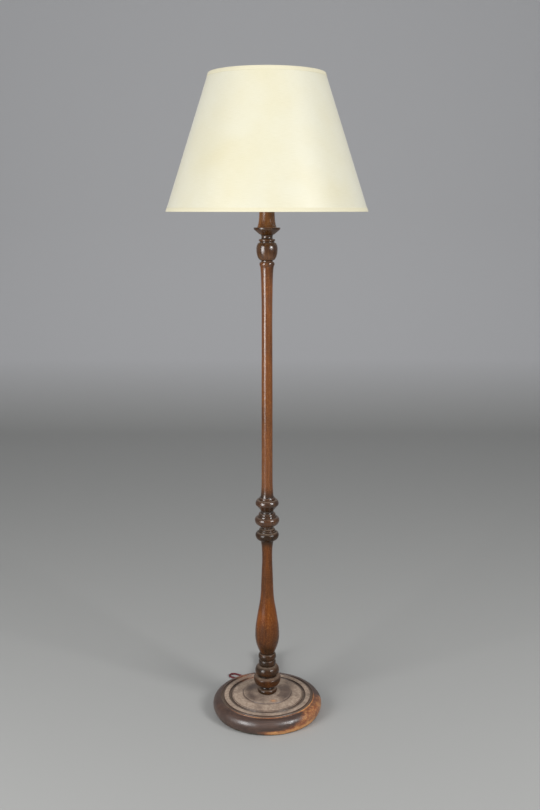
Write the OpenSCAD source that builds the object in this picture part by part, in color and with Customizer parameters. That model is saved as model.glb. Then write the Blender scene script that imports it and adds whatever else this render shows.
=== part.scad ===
// Candlestick floor lamp: a turned wooden stand with a harp and a spider-fitted empire shade.
// Millimetres. The origin is the centre of the base's underside on the floor, +Z is up,
// the front faces -Y and the cord leaves at the rear left.

/* [Base] */
// Diameter of the base at its widest
base_d = 270; // [264:1:284]
// Height of the wooden base, up to the seat of the column
base_h = 47; // [45:0.5:52]
// How far the foot of the rounded edge is drawn in
base_undercut = 6; // [3:0.5:8]
// Height of the widest part of the edge above the wood's underside
base_belly_h = 18; // [15:0.5:21]
// Height of the rounded edge above the wood's underside
base_edge_h = 36.5; // [34:0.5:38]
// Width of the rounded edge, from its widest part in to the fillet
base_edge_w = 18; // [15:0.5:20]
// Width of the fillet inside the rounded edge
fillet_w = 2; // [1:0.25:3]
// Width of the outer groove
outer_groove_w = 7.5; // [5:0.5:9]
// Width of the raised ring between the grooves
ring_w = 12; // [10:0.5:14]
// Width of the inner groove
inner_groove_w = 9.5; // [7:0.5:11]
// Depth of both grooves
groove_depth = 2.75; // [2:0.25:4.5]
// Width of the field between the inner groove and the raised middle
field_w = 26; // [20:1:30]
// Step up from the field to the raised middle
middle_step = 1.6; // [0.8:0.1:2.2]

/* [Under the base] */
// Thickness of the baize
felt_t = 2; // [1:0.25:3]
// How far the baize stays inside the foot of the edge
felt_inset = 2; // [1:0.5:4]
// Diameter of the ballast weight
weight_d = 206; // [190:1:210]
// Thickness of the ballast weight
weight_t = 13; // [11:0.5:14.5]
// Depth of the recess for the weight
recess_h = 18; // [17:0.25:19]
// Width of the slot in the weight for the cord
weight_slot_w = 12; // [9:0.5:16]
// Diameter of the hole in the middle of the weight
weight_hole_d = 46; // [42:1:60]
// Circle on which the weight's screws lie
screw_circle_d = 160; // [130:1:176]
// Number of screws that hold the weight
screw_count = 3; // [2:1:5]
// Shank diameter of the weight's screws
screw_d = 4.5; // [3.5:0.25:5.5]
// Length of a screw below the head
screw_l = 24; // [18:1:26]

/* [Lower column] */
// Diameter of the ring on which the column stands
foot_ring_d = 49; // [44:0.5:54]
// Diameter of the cushion above the foot cove
cushion_d = 66.6; // [58:0.5:72]
// Diameter of the bowl on the cushion
bowl_d = 59.5; // [52:0.5:64]
// Diameter of the upper of the two beads below the vase
foot_bead_d = 44; // [39:0.5:46]
// Diameter of the vase
vase_d = 59.5; // [50:0.5:64]
// Height of the vase's round belly
vase_belly_h = 45; // [38:1:56]
// Height over which the vase draws in
vase_draw_h = 129; // [100:1:160]
// Height over which the vase's neck tapers to the lower shaft
vase_neck_h = 64; // [40:1:90]
// Diameter of the lower shaft
lower_shaft_d = 24.8; // [22.5:0.1:28]
// Length of the plain part of the lower shaft
lower_shaft_h = 13; // [5:1:60]

/* [Rings] */
// Diameter of the lowest ring
low_ring_d = 56.4; // [53:0.2:62]
// Diameter of the middle ring
mid_ring_d = 58.6; // [55:0.2:62]
// Diameter of the top ring
top_ring_d = 55.2; // [50:0.2:62]
// Diameter of the necks between the rings
ring_neck_d = 26.4; // [25:0.1:31]

/* [Upper column] */
// Diameter of the upper shaft at its foot
upper_shaft_low_d = 26.6; // [25:0.1:30]
// Diameter of the upper shaft where it is thinnest
upper_shaft_high_d = 25; // [22.5:0.1:28]
// Length of the upper shaft's even part
upper_shaft_h = 220; // [150:1:300]
// Length over which the upper shaft tapers
upper_taper_h = 165; // [100:1:200]
// Length of the flare below the collar
upper_flare_h = 119; // [80:1:140]
// Diameter of the collar at the top of the upper shaft
collar_d = 34.8; // [32:0.2:40]

/* [Capital] */
// Diameter of the urn
urn_d = 48.8; // [42:0.2:56]
// Diameter of the drip pan's rim
pan_d = 61; // [56:0.5:68]
// Depth of the dish in the drip pan
pan_dish = 3.5; // [1:0.25:4]
// Diameter of the foot of the candle sleeve
sleeve_foot_d = 48; // [42:0.5:50]
// Diameter of the candle sleeve where it is even
sleeve_d = 35; // [31:0.5:37]
// Diameter of the top of the candle sleeve
sleeve_top_d = 33; // [29:0.2:35]
// Length of the even part of the candle sleeve
sleeve_h = 40; // [25:1:60]

/* [Joints and pipe] */
// Diameter of the bore through all the wooden pieces
bore_d = 11; // [10.6:0.1:12]
// Diameter of the spigots that join the wooden pieces
spigot_d = 18; // [16:0.2:19]
// Length of the spigots between the column's pieces
spigot_l = 21; // [14:1:26]
// Diameter of the column's spigot in the base
foot_spigot_d = 22; // [18:0.5:28]
// Length of the column's spigot in the base
foot_spigot_l = 20; // [14:0.5:22]
// Gap round and under a glued spigot
glue_gap = 0.1; // [0.05:0.05:0.3]
// Outer diameter of the lamp pipe
pipe_d = 10; // [9:0.1:10.2]
// Bore of the lamp pipe
pipe_bore_d = 7.6; // [6.4:0.1:8]
// Gap between a thread and the nut on it
thread_gap = 0.03; // [0.02:0.01:0.1]
// Width across the flats of the nut under the base
nut_af = 17; // [14:0.5:19]
// Height of the nut under the base
nut_h = 8; // [6:0.5:8.5]
// Diameter of the washer under the base
washer_d = 28; // [22:1:34]
// Thickness of the washer under the base
washer_t = 1.6; // [1:0.1:2]

/* [Harp] */
// Height from the saddle's underside to the seat of the shade
harp_h = 229; // [222:1:254]
// Distance between the feet of the harp
harp_foot_span = 54; // [50:0.5:60]
// Distance between the harp's legs at the widest
harp_span = 112; // [104:1:124]
// Diameter of the harp's wire
harp_wire_d = 4.8; // [4:0.1:5.2]
// Thickness of the saddle's strip
saddle_t = 1.6; // [1.2:0.1:2]
// Width of the saddle's strip
saddle_w = 11; // [9:0.5:14]
// Height of the saddle's arms up to the harp's feet
saddle_arm_h = 21.6; // [16:0.2:26]
// Height of the round necks under the harp's feet, which the ferrules lock
neck_h = 5; // [3:0.5:7]
// Diameter of the tongues on the saddle's arms
tongue_d = 4; // [3.4:0.1:4.2]
// Length of the tongues on the saddle's arms
tongue_l = 11; // [8:0.5:13]
// Outer diameter of the harp's shoes
shoe_d = 6.8; // [6.2:0.1:7.4]
// Length of the harp's shoes
shoe_l = 18; // [16:0.5:22]
// Outer diameter of the ferrules that lock the harp
ferrule_d = 10; // [9.4:0.1:11]
// Length of the ferrules
ferrule_l = 14; // [12:0.5:16]

/* [Shade] */
// Diameter of the shade at its lower edge
shade_bottom_d = 457.2; // [440:0.1:480]
// Diameter of the shade at its upper edge
shade_top_d = 260; // [240:1:290]
// Upright height of the shade
shade_h = 298; // [270:1:310]
// Thickness of the laminated cover
cover_t = 1.2; // [0.8:0.1:2]
// Thickness of the tape round the edges
tape_t = 0.5; // [0.3:0.1:0.8]
// Width of the tape that shows outside
tape_w = 8; // [5:0.5:12]
// Diameter of the shade's wires
shade_wire_d = 3.2; // [2.6:0.1:4]
// How far the spider's washer lies below the upper edge
spider_drop = 25; // [16:1:34]
// Diameter of the spider's washer
spider_washer_d = 28; // [22:1:34]
// Thickness of the spider's washer
spider_washer_t = 2; // [1.5:0.1:3]
// Number of the spider's arms
spider_arms = 3; // [3:1:4]
// Diameter of the threaded stud that carries the shade
stud_d = 6.3; // [6:0.1:6.4]
// Length of the stud above the harp's shoulder
stud_l = 11; // [10:0.5:13]
// Thickness of the finial's washer
finial_washer_t = 1; // [0.8:0.1:1.5]
// Height of the finial
finial_h = 22; // [18:0.5:26]
// Diameter of the finial's ball
finial_d = 16; // [14:0.5:20]

/* [Socket and bulb] */
// Inner diameter of the socket's brass shell
shell_bore_d = 33; // [32.6:0.1:34]
// Wall of the socket's brass pieces
brass_t = 0.6; // [0.5:0.05:0.8]
// Length of the socket's shell
shell_l = 46; // [43:0.5:49]
// Height of the switch's axis above the foot of the socket
switch_up = 29; // [27:0.5:31]
// Diameter of the switch's stem
stem_d = 4; // [3:0.1:4.4]
// Length of the switch's knob
knob_l = 15; // [12:0.5:18]
// Width of the switch's knob
knob_w = 17; // [14:0.5:20]
// Diameter of the bulb's screw cap
cap_d = 26; // [25.8:0.05:26.3]
// Diameter of the bulb's glass
bulb_d = 60; // [50:1:60]
// Height of the bulb's glass above its cap
bulb_h = 80; // [76:1:86]
// Thickness of the bulb's glass
glass_t = 0.8; // [0.6:0.1:1.2]

/* [Cord] */
// Diameter of the cord
cord_d = 4.8; // [4.6:0.1:5]
// Diameter of each conductor in the pipe
wire_d = 2.2; // [1.8:0.1:2.4]
// Direction of the cord's hole, anticlockwise from the right
cord_angle = 118; // [116:0.5:120]
// Height of the cord's hole above the floor
cord_z = 9; // [8.6:0.1:9.4]
// Length of the bushing's tapered nose
nose_l = 20; // [20:1:24]
// Radius of a hank's inner fold
fold_r = 10; // [9.6:0.1:10.6]
// Distance between neighbouring loops of the hank
loop_step = 5.4; // [5.3:0.05:5.6]
// Distance between the hank's layers
layer_step = 5.3; // [5.25:0.05:5.5]
// Straight length of the hank's runs
run_l = 90; // [84:1:96]
// Number of layers in the hank
hank_layers = 4; // [2:2:4]
// How far the loops are drawn in at the waist
waist_draw = 5; // [3:0.25:5.5]
// Distance of the hank's middle behind the lamp's axis
hank_y = 205; // [203:0.5:210]

/* [Plug] */
// Length of the plug's body
plug_l = 28; // [24:1:34]
// Width of the plug's body
plug_w = 22; // [18:0.5:26]
// Thickness of the plug's body
plug_t = 13; // [11:0.5:13.5]
// Distance between the plug's blades
blade_gap = 12.7; // [11:0.1:13]
// Length of the plug's blades
blade_l = 16; // [14:0.5:18]

/* [Hidden] */

$fn = 96;
// Straight pieces that stand for each curved stretch of a turned outline
curve_steps = 9;
// Overrun of a cut past the face it starts from
cut = 1;
// Gap between two pieces that slide or turn on each other
slide_gap = 0.3;

wood = "#5a2f1a";
wood_dark = "#3c2116";
wood_dusty = "#6b4c38";
brass = "#b08d4a";
steel = "#8f9296";
iron = "#3a3b3d";
ivory = "#f1edd6";
tape = "#ece5c8";
baize = "#2f4a36";
phenolic = "#2a211c";
liner_card = "#b9a27c";
glass = "#f4f3ee";
cord_red = "#6e2a2c";
cord_black = "#26211f";
copper = "#b2713f";

// ---- turned outlines ----
// A turned stretch is [kind, height, diameter at its foot, diameter at its top, diameter at its middle].
// A bead bulges to its middle diameter, a swell leaves and ends upright, a rise leaves aslant and ends
// upright, and the two quarter curves leave level and end upright, or leave upright and end level.
function bare(s) = [for (k = [0:1]) [s[2 + k] / 2, k * s[1]]];
function bead(s) = [for (k = [0:curve_steps]) let (t = k / curve_steps, r = s[2] / 2 + (s[3] - s[2]) / 2 * t)
    [r + (s[4] / 2 - (s[2] + s[3]) / 4) * sin(180 * t), s[1] * (1 - cos(180 * t)) / 2]];
function swell(s) = [for (k = [0:2 * curve_steps]) let (t = k / curve_steps / 2)
    [s[2] / 2 + (s[3] - s[2]) / 2 * (1 - cos(180 * t)) / 2, s[1] * t]];
function rise(s) = [for (k = [0:2 * curve_steps]) let (t = k / curve_steps / 2)
    [s[2] / 2 + (s[3] - s[2]) / 2 * sin(90 * t), s[1] * t]];
function level_first(s) = [for (k = [0:curve_steps]) let (a = 90 * k / curve_steps)
    [s[2] / 2 + (s[3] - s[2]) / 2 * sin(a), s[1] * (1 - cos(a))]];
function upright_first(s) = [for (k = [0:curve_steps]) let (a = 90 * k / curve_steps)
    [s[2] / 2 + (s[3] - s[2]) / 2 * (1 - cos(a)), s[1] * sin(a)]];
function stretch(s) = s[0] == "bead" ? bead(s)
    : s[0] == "swell" ? swell(s)
    : s[0] == "rise" ? rise(s)
    : s[0] == "level first" ? level_first(s)
    : s[0] == "upright first" ? upright_first(s)
    : bare(s);
function height(stack, i = 0) = i == len(stack) ? 0 : stack[i][1] + height(stack, i + 1);
function outline(stack, z, i = 0) = i == len(stack) ? []
    : concat([for (p = stretch(stack[i])) [p[0], p[1] + z]], outline(stack, z + stack[i][1], i + 1));

// Half an ellipse from x0 to x1 at height z, which rises by up, or dips where up is negative
function arch(x0, x1, z, up) = [for (k = [0:curve_steps]) let (a = 180 * k / curve_steps)
    [(x0 + x1) / 2 + (x0 - x1) / 2 * cos(a), z + up * sin(a)]];

cove_d = 31;
fillet_above_cushion_d = 45;
bowl_top_d = 37;
bead_foot_d = 36.5;
vase_foot_d = 35.5;
ring_side_d = 31;
ring_bead_d = 38.5;
bead_side_d = 33;
pan_neck_d = 25.6;
pan_foot_d = 34.4;

lower_stack = [
    ["bead", 10, foot_ring_d - 6, foot_ring_d - 6, foot_ring_d],
    ["level first", 5, foot_ring_d - 6, cove_d],
    ["upright first", 6, cove_d, cushion_d * 0.75],
    ["level first", 16, cushion_d * 0.75, cushion_d],
    ["plain", 2, cushion_d, cushion_d],
    ["upright first", 5, cushion_d, fillet_above_cushion_d + 2],
    ["plain", 5, fillet_above_cushion_d, fillet_above_cushion_d],
    ["level first", 8.5, fillet_above_cushion_d, bowl_d],
    ["upright first", 14, bowl_d, bowl_top_d],
    ["bead", 15.5, bead_foot_d, bead_foot_d, foot_bead_d - 1.6],
    ["plain", 0.5, bead_foot_d, bead_foot_d],
    ["bead", 15.5, bead_foot_d, bead_foot_d, foot_bead_d],
    ["plain", 2, vase_foot_d, vase_foot_d],
    ["rise", vase_belly_h, vase_foot_d, vase_d],
    ["swell", vase_draw_h, vase_d, lower_shaft_d + 5.2],
    ["plain", vase_neck_h, lower_shaft_d + 5.2, lower_shaft_d],
    ["plain", lower_shaft_h, lower_shaft_d, lower_shaft_d],
    ["upright first", 41.5, lower_shaft_d, bead_side_d + 1],
    ["bead", 21.5, ring_side_d - 1, low_ring_d - 13.4, low_ring_d],
    ["upright first", 3, low_ring_d - 14.4, ring_bead_d],
    ["bead", 5.5, ring_bead_d - 2.5, ring_side_d - 1.5, ring_bead_d],
    ["plain", 2.2, ring_neck_d, ring_neck_d]
];
upper_stack = [
    ["plain", 2.1, ring_neck_d, ring_neck_d],
    ["upright first", 2.7, ring_neck_d, ring_side_d],
    ["bead", 22, ring_side_d, mid_ring_d - 11.6, mid_ring_d],
    ["upright first", 3.5, mid_ring_d - 13.6, ring_bead_d + 2.5],
    ["bead", 6.5, ring_bead_d, bead_side_d, ring_bead_d + 2.5],
    ["level first", 2.5, bead_side_d, ring_side_d],
    ["plain", 3.6, ring_side_d, ring_side_d],
    ["plain", 12.9, ring_side_d, top_ring_d - 3.2],
    ["bead", 14, top_ring_d - 3.2, top_ring_d - 11.2, top_ring_d],
    ["bead", 5.5, ring_bead_d - 1.5, bead_side_d + 1, ring_bead_d],
    ["level first", 46, bead_side_d + 0.6, upper_shaft_low_d],
    ["plain", upper_shaft_h, upper_shaft_low_d, upper_shaft_low_d - 0.8],
    ["swell", upper_taper_h, upper_shaft_low_d - 0.8, upper_shaft_high_d],
    ["upright first", upper_flare_h, upper_shaft_high_d, collar_d - 2.4],
    ["bead", 9, collar_d - 4.8, collar_d - 4.8, collar_d]
];
capital_stack = [
    ["plain", 4, ring_neck_d + 0.4, ring_neck_d + 0.4],
    ["level first", 25.5, ring_neck_d + 0.4, urn_d],
    ["upright first", 15, urn_d, bead_side_d + 1],
    ["plain", 2, bead_side_d, bead_side_d],
    ["bead", 5.5, bead_side_d, bead_side_d, bead_side_d + 4.4],
    ["level first", 3.5, bead_side_d - 3, pan_neck_d],
    ["plain", 1.5, pan_neck_d, pan_neck_d],
    ["upright first", 5.5, pan_neck_d, pan_foot_d],
    ["plain", 9.5, pan_foot_d, pan_d - 4],
    ["bead", 4.5, pan_d - 4, pan_d, pan_d - 0.8],
    ["plain", 1, pan_d, pan_d]
];
sleeve_stack = [
    ["plain", 3, sleeve_foot_d, sleeve_foot_d],
    ["level first", 38, sleeve_foot_d, sleeve_d],
    ["plain", sleeve_h, sleeve_d, sleeve_top_d]
];

// ---- heights ----
base_top = felt_t + base_h;
recess_top = felt_t + recess_h;
column_joint = base_top + height(lower_stack);
capital_foot = column_joint + height(upper_stack);
pan_rim = capital_foot + height(capital_stack);
pan_floor = pan_rim - pan_dish;
sleeve_top = pan_floor + height(sleeve_stack);
sleeve_ring_t = 2;
saddle_z = sleeve_top + sleeve_ring_t;
saddle_nut_h = 3.4;
socket_z = saddle_z + saddle_t + saddle_nut_h;
shade_seat = saddle_z + harp_h;
shade_top = shade_seat + spider_drop;
shade_bottom = shade_top - shade_h;

// ---- base ----
base_r = base_d / 2;
fillet_r = base_r - base_edge_w;
ring_out_r = fillet_r - fillet_w - outer_groove_w;
ring_in_r = ring_out_r - ring_w;
field_r = ring_in_r - inner_groove_w;
middle_r = field_r - field_w;
belly_z = felt_t + base_belly_h;
edge_z = felt_t + base_edge_h;
ring_z = edge_z + 2;
field_z = ring_z + 1.5;
middle_z = base_top - 2.6;
seat_r = foot_ring_d / 2 + 1;
base_outline = concat(
    [[0, felt_t]],
    [for (k = [0:curve_steps]) let (t = k / curve_steps)
        [base_r - base_undercut * pow(1 - t, 2), felt_t + base_belly_h * t]],
    [for (k = [1:curve_steps]) let (a = 90 * k / curve_steps)
        [base_r - base_edge_w * (1 - cos(a)), belly_z + (edge_z - belly_z) * sin(a)]],
    [[fillet_r, edge_z + 1.2], [fillet_r - fillet_w, edge_z + 1.2]],
    arch(fillet_r - fillet_w, ring_out_r, edge_z + 0.4, -groove_depth),
    arch(ring_out_r, ring_in_r, ring_z, 0.9),
    arch(ring_in_r, field_r + 2, edge_z + 1, -groove_depth),
    [[field_r + 2, field_z - 1.5], [field_r, field_z - 1.5], [field_r, field_z]],
    [[middle_r + 1, middle_z - middle_step], [middle_r, middle_z - middle_step], [middle_r - 1, middle_z]],
    [[seat_r, base_top], [0, base_top]]
);

module base_disc() {
    color(wood_dusty) difference() {
        rotate_extrude() polygon(base_outline);
        translate([0, 0, felt_t - cut]) cylinder(d = weight_d + 2, h = recess_h + cut);
        cylinder(d = bore_d, h = base_top + cut);
        translate([0, 0, base_top - foot_spigot_l - glue_gap])
            cylinder(d = foot_spigot_d + 2 * glue_gap, h = foot_spigot_l + cut);
        rotate(cord_angle) translate([weight_d / 2 - 3, 0, cord_z]) rotate([0, 90, 0]) {
            cylinder(d = bushing_d + 2 * glue_gap, h = base_r);
            translate([0, 0, bushing_seat_r - weight_d / 2 + 3])
                cylinder(d = bushing_flange_d + 1, h = base_r);
        }
        at_screws() translate([0, 0, recess_top - cut])
            cylinder(d = screw_d + 0.1, h = screw_l - weight_t + 2 * cut);
    }
}

module base_felt() {
    color(baize) cylinder(d = base_d - 2 * base_undercut - 2 * felt_inset, h = felt_t);
}

// ---- ballast, nut and washer under the base ----
screw_head_h = 2.6;
screw_turn = 60;
module at_screws() {
    for (k = [0:screw_count - 1])
        rotate(cord_angle + screw_turn + 360 / screw_count * k)
            translate([screw_circle_d / 2, 0, 0]) children();
}
module ballast_weight() {
    color(iron) difference() {
        translate([0, 0, recess_top - weight_t]) cylinder(d = weight_d, h = weight_t);
        cylinder(d = weight_hole_d, h = base_top);
        rotate(cord_angle) translate([0, -weight_slot_w / 2, 0]) cube([base_r, weight_slot_w, base_top]);
        at_screws() cylinder(d = screw_d + 1, h = base_top);
    }
}
module ballast_screws() {
    color(steel) at_screws() translate([0, 0, recess_top - weight_t]) {
        cylinder(d = screw_d, h = screw_l);
        translate([0, 0, -screw_head_h]) cylinder(d1 = screw_d, d2 = 2 * screw_d, h = screw_head_h / 2);
        translate([0, 0, -screw_head_h / 2]) cylinder(d = 2 * screw_d, h = screw_head_h / 2);
    }
}
pipe_foot = recess_top - washer_t - nut_h - 0.4;
module pipe_washer() {
    color(steel) translate([0, 0, recess_top - washer_t]) difference() {
        cylinder(d = washer_d, h = washer_t);
        translate([0, 0, -cut]) cylinder(d = pipe_d + 0.8, h = washer_t + 2 * cut);
    }
}
module hex_nut(af, h) {
    difference() {
        intersection() {
            cylinder(d = af / cos(30), h = h, $fn = 6);
            union() {
                translate([0, 0, h / 2]) cylinder(d1 = af * 1.3, d2 = af * 0.95, h = h / 2);
                cylinder(d1 = af * 0.95, d2 = af * 1.3, h = h / 2);
            }
        }
        translate([0, 0, -cut]) cylinder(d = pipe_d + 2 * thread_gap, h = h + 2 * cut);
    }
}
module pipe_nut() {
    color(steel) translate([0, 0, recess_top - washer_t - nut_h]) hex_nut(nut_af, nut_h);
}

// ---- turned pieces ----
// A piece turned to a stack of stretches, with a spigot on its foot or top and a socket in its foot
module turned(stack, z, foot_spigot = [0, 0], top_spigot = [0, 0], socket = [0, 0]) {
    top = z + height(stack);
    difference() {
        union() {
            rotate_extrude() polygon(concat([[0, z]], outline(stack, z), [[0, top]]));
            if (foot_spigot[1] > 0) translate([0, 0, z - foot_spigot[1]])
                cylinder(d = foot_spigot[0], h = foot_spigot[1] + cut);
            if (top_spigot[1] > 0) translate([0, 0, top - cut])
                cylinder(d = top_spigot[0], h = top_spigot[1] + cut);
        }
        translate([0, 0, z - foot_spigot[1] - cut])
            cylinder(d = bore_d, h = height(stack) + foot_spigot[1] + top_spigot[1] + 2 * cut);
        if (socket[1] > 0) translate([0, 0, z - cut])
            cylinder(d = socket[0] + 2 * glue_gap, h = socket[1] + glue_gap + cut);
    }
}
joint_spigot = [spigot_d, spigot_l];
module lower_column() {
    color(wood) turned(lower_stack, base_top, foot_spigot = [foot_spigot_d, foot_spigot_l],
        top_spigot = joint_spigot);
}
module upper_column() {
    color(wood) turned(upper_stack, column_joint, top_spigot = joint_spigot, socket = joint_spigot);
}
module capital() {
    dish_r = pan_d / 2 - 1;
    color(wood_dark) difference() {
        turned(capital_stack, capital_foot, socket = joint_spigot);
        translate([0, 0, pan_floor]) cylinder(d1 = sleeve_foot_d + 1, d2 = 2 * dish_r, h = pan_dish);
        translate([0, 0, pan_rim]) cylinder(d = pan_d + 2, h = cut);
    }
}
module candle_sleeve() {
    color(wood) turned(sleeve_stack, pan_floor);
}

// ---- pipe and fittings on it ----
pipe_top = socket_z + 9;
module lamp_pipe() {
    color(steel) translate([0, 0, pipe_foot]) difference() {
        cylinder(d = pipe_d, h = pipe_top - pipe_foot);
        translate([0, 0, -cut]) cylinder(d = pipe_bore_d, h = pipe_top - pipe_foot + 2 * cut);
    }
}
module sleeve_ring() {
    color(brass) translate([0, 0, sleeve_top]) rotate_extrude() polygon([
        [pipe_d / 2 + 0.2, 0], [sleeve_top_d / 2 + 0.4, 0], [sleeve_top_d / 2 + 0.8, sleeve_ring_t / 2],
        [sleeve_top_d / 2 + 0.2, sleeve_ring_t], [pipe_d / 2 + 0.2, sleeve_ring_t]
    ]);
}
module saddle_nut() {
    color(steel) translate([0, 0, saddle_z + saddle_t]) hex_nut(nut_af, saddle_nut_h);
}

// ---- wires and cords ----
// A tube of so many sides is swept along points, from first_way to last_way, in one closed mesh. Its
// sides are set out from ref, a direction that the route never takes.
function unit(v) = v / norm(v);
function way_at(points, i, first_way, last_way) = i == 0 ? first_way
    : i == len(points) - 1 ? last_way
    : unit(unit(points[i + 1] - points[i]) + unit(points[i] - points[i - 1]));
function tube_points(points, sides, r, first_way, last_way, ref) = [
    for (i = [0:len(points) - 1])
        let (way = way_at(points, i, first_way, last_way))
        let (across = unit(cross(ref, way)), up = cross(way, across))
        for (k = [0:sides - 1]) let (a = 360 * (k + 0.5) / sides)
            points[i] + r * (cos(a) * across + sin(a) * up)
];
function tube_faces(rings, sides) = concat(
    [for (i = [0:rings - 2], k = [0:sides - 1]) let (n = (k + 1) % sides)
        [i * sides + k, (i + 1) * sides + k, i * sides + n]],
    [for (i = [0:rings - 2], k = [0:sides - 1]) let (n = (k + 1) % sides)
        [i * sides + n, (i + 1) * sides + k, (i + 1) * sides + n]],
    [for (k = [1:sides - 2]) [0, k, k + 1]],
    [for (k = [1:sides - 2]) let (s = (rings - 1) * sides) [s, s + k + 1, s + k]]
);
module tube(points, sides, d, first_way, last_way, ref = [0, 0, 1]) {
    polyhedron(tube_points(points, sides, d / 2, first_way, last_way, ref), tube_faces(len(points), sides),
        convexity = 10);
}

// ---- harp ----
foot_x = harp_foot_span / 2;
harp_foot_z = saddle_z + saddle_arm_h;
// The saddle's strip turns up round this radius, measured to the middle of the strip
saddle_bend = 6;
module saddle_side() {
    arm_x = foot_x;
    translate([0, -saddle_w / 2, saddle_z]) cube([arm_x - saddle_bend, saddle_w, saddle_t]);
    translate([arm_x - saddle_bend, -saddle_w / 2, saddle_z + saddle_bend + saddle_t / 2]) rotate([-90, 0, 0])
        rotate_extrude(angle = 90) translate([saddle_bend - saddle_t / 2, 0]) square([saddle_t, saddle_w]);
    translate([arm_x - saddle_t / 2, -saddle_w / 2, saddle_z + saddle_bend + saddle_t / 2])
        cube([saddle_t, saddle_w, saddle_arm_h - neck_h - saddle_bend - saddle_t / 2]);
    translate([arm_x, 0, harp_foot_z - neck_h]) {
        cylinder(d = shoe_d, h = neck_h);
        cylinder(d = tongue_d, h = neck_h + tongue_l);
    }
}
module harp_saddle() {
    color(brass) difference() {
        union() {
            saddle_side();
            mirror([1, 0, 0]) saddle_side();
            translate([0, 0, saddle_z]) cylinder(d = saddle_w * 1.8, h = saddle_t);
        }
        translate([0, 0, saddle_z - cut]) cylinder(d = pipe_d + 0.4, h = saddle_t + 2 * cut);
    }
}

// A leg runs straight up, swells out in an S of two equal arcs, runs straight, and closes in a quarter ring.
harp_top_r = harp_span / 2;
wire_top = shade_seat - 8;
wire_foot = harp_foot_z + shoe_l;
s_foot = wire_foot + 2;
s_run = 84;
s_angle = 2 * atan((harp_top_r - foot_x) / s_run);
s_r = s_run / 2 / sin(s_angle);
crown_z = wire_top - harp_top_r;
function reversed(points) = [for (k = [len(points) - 1:-1:0]) points[k]];
function harp_leg(side) = concat(
    [[side * foot_x, 0, wire_foot]],
    [for (k = [0:curve_steps]) let (a = s_angle * k / curve_steps)
        [side * (foot_x + s_r * (1 - cos(a))), 0, s_foot + s_r * sin(a)]],
    [for (k = [1:curve_steps]) let (a = s_angle * (1 - k / curve_steps))
        [side * (harp_top_r - s_r * (1 - cos(a))), 0, s_foot + s_run - s_r * sin(a)]],
    [for (k = [0:2 * curve_steps - 1]) let (a = 45 * k / curve_steps)
        [side * harp_top_r * cos(a), 0, crown_z + harp_top_r * sin(a)]]
);
module harp_wire() {
    color(brass) tube(concat(harp_leg(1), [[0, 0, wire_top]], reversed(harp_leg(-1))), 12, harp_wire_d,
        [0, 0, 1], [0, 0, -1], ref = [0, 1, 0]);
}
module harp_shoe() {
    translate([foot_x, 0, harp_foot_z]) difference() {
        cylinder(d = shoe_d, h = shoe_l);
        translate([0, 0, -cut]) cylinder(d = tongue_d + 2 * slide_gap, h = tongue_l + 1 + cut);
    }
}
module harp_shoes() {
    color(brass) {
        harp_shoe();
        mirror([1, 0, 0]) harp_shoe();
    }
}
module harp_stud() {
    boss_d = harp_wire_d + 7;
    color(brass) difference() {
        union() {
            translate([0, 0, wire_top - harp_wire_d / 2 - 2])
                cylinder(d = boss_d, h = shade_seat - wire_top + 3);
            translate([0, 0, shade_seat - 3]) cylinder(d = boss_d + 6, h = 3);
            translate([0, 0, shade_seat - 1]) cylinder(d = stud_d, h = stud_l + 1);
        }
        translate([0, 0, crown_z]) rotate([90, 0, 0]) rotate(60) rotate_extrude(angle = 60)
            translate([harp_top_r, 0]) circle(d = harp_wire_d + 0.1, $fn = 32);
    }
}
module ferrule(side) {
    color(brass) translate([side * foot_x, 0, harp_foot_z - neck_h]) difference() {
        rotate_extrude() polygon([
            [0, 0], [ferrule_d / 2, 0], [ferrule_d / 2, ferrule_l - 2], [ferrule_d / 2 - 1, ferrule_l],
            [0, ferrule_l]
        ]);
        translate([0, 0, -cut]) cylinder(d = shoe_d + 2 * slide_gap, h = ferrule_l + 2 * cut);
    }
}
module ferrule_left() { ferrule(-1); }
module ferrule_right() { ferrule(1); }

// ---- shade ----
// Outer radius of the cover at a height, inside the tape
shade_slope = (shade_bottom_d - shade_top_d) / 2 / shade_h;
function cover_r(z) = shade_bottom_d / 2 - tape_t - shade_slope * (z - shade_bottom);
cover_foot = shade_bottom + tape_t;
cover_head = shade_top - tape_t;
wire_gap = 0.1;
// A wire ring lies against the inside of the cover
function ring_wire_r(z) = cover_r(z) - cover_t - wire_gap - shade_wire_d / 2 / cos(atan(shade_slope));
top_wire_z = cover_head - shade_wire_d / 2 - 0.4;
bottom_wire_z = cover_foot + shade_wire_d / 2 + 0.4;
module shade_wire_ring(z) {
    translate([0, 0, z]) rotate_extrude() translate([ring_wire_r(z), 0]) circle(d = shade_wire_d, $fn = 24);
}
module shade_spider() {
    hub_z = shade_seat + spider_washer_t / 2;
    hub_r = spider_washer_d / 2 - shade_wire_d / 2;
    reach = ring_wire_r(top_wire_z) - hub_r;
    rise = top_wire_z - hub_z;
    color(brass) difference() {
        union() {
            shade_wire_ring(top_wire_z);
            translate([0, 0, shade_seat]) cylinder(d = spider_washer_d, h = spider_washer_t);
            for (k = [0:spider_arms - 1]) rotate(90 + 360 / spider_arms * k) translate([hub_r, 0, hub_z])
                rotate([0, atan2(reach, rise), 0]) {
                    cylinder(d = shade_wire_d, h = norm([reach, rise]), $fn = 24);
                    sphere(d = shade_wire_d, $fn = 24);
                }
        }
        translate([0, 0, shade_seat - cut]) cylinder(d = stud_d + 1.2, h = spider_washer_t + 2 * cut);
        translate([0, 0, shade_seat - shade_wire_d]) cylinder(d = spider_washer_d + 8, h = shade_wire_d);
    }
}
module shade_bottom_ring() {
    color(brass) shade_wire_ring(bottom_wire_z);
}
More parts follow.
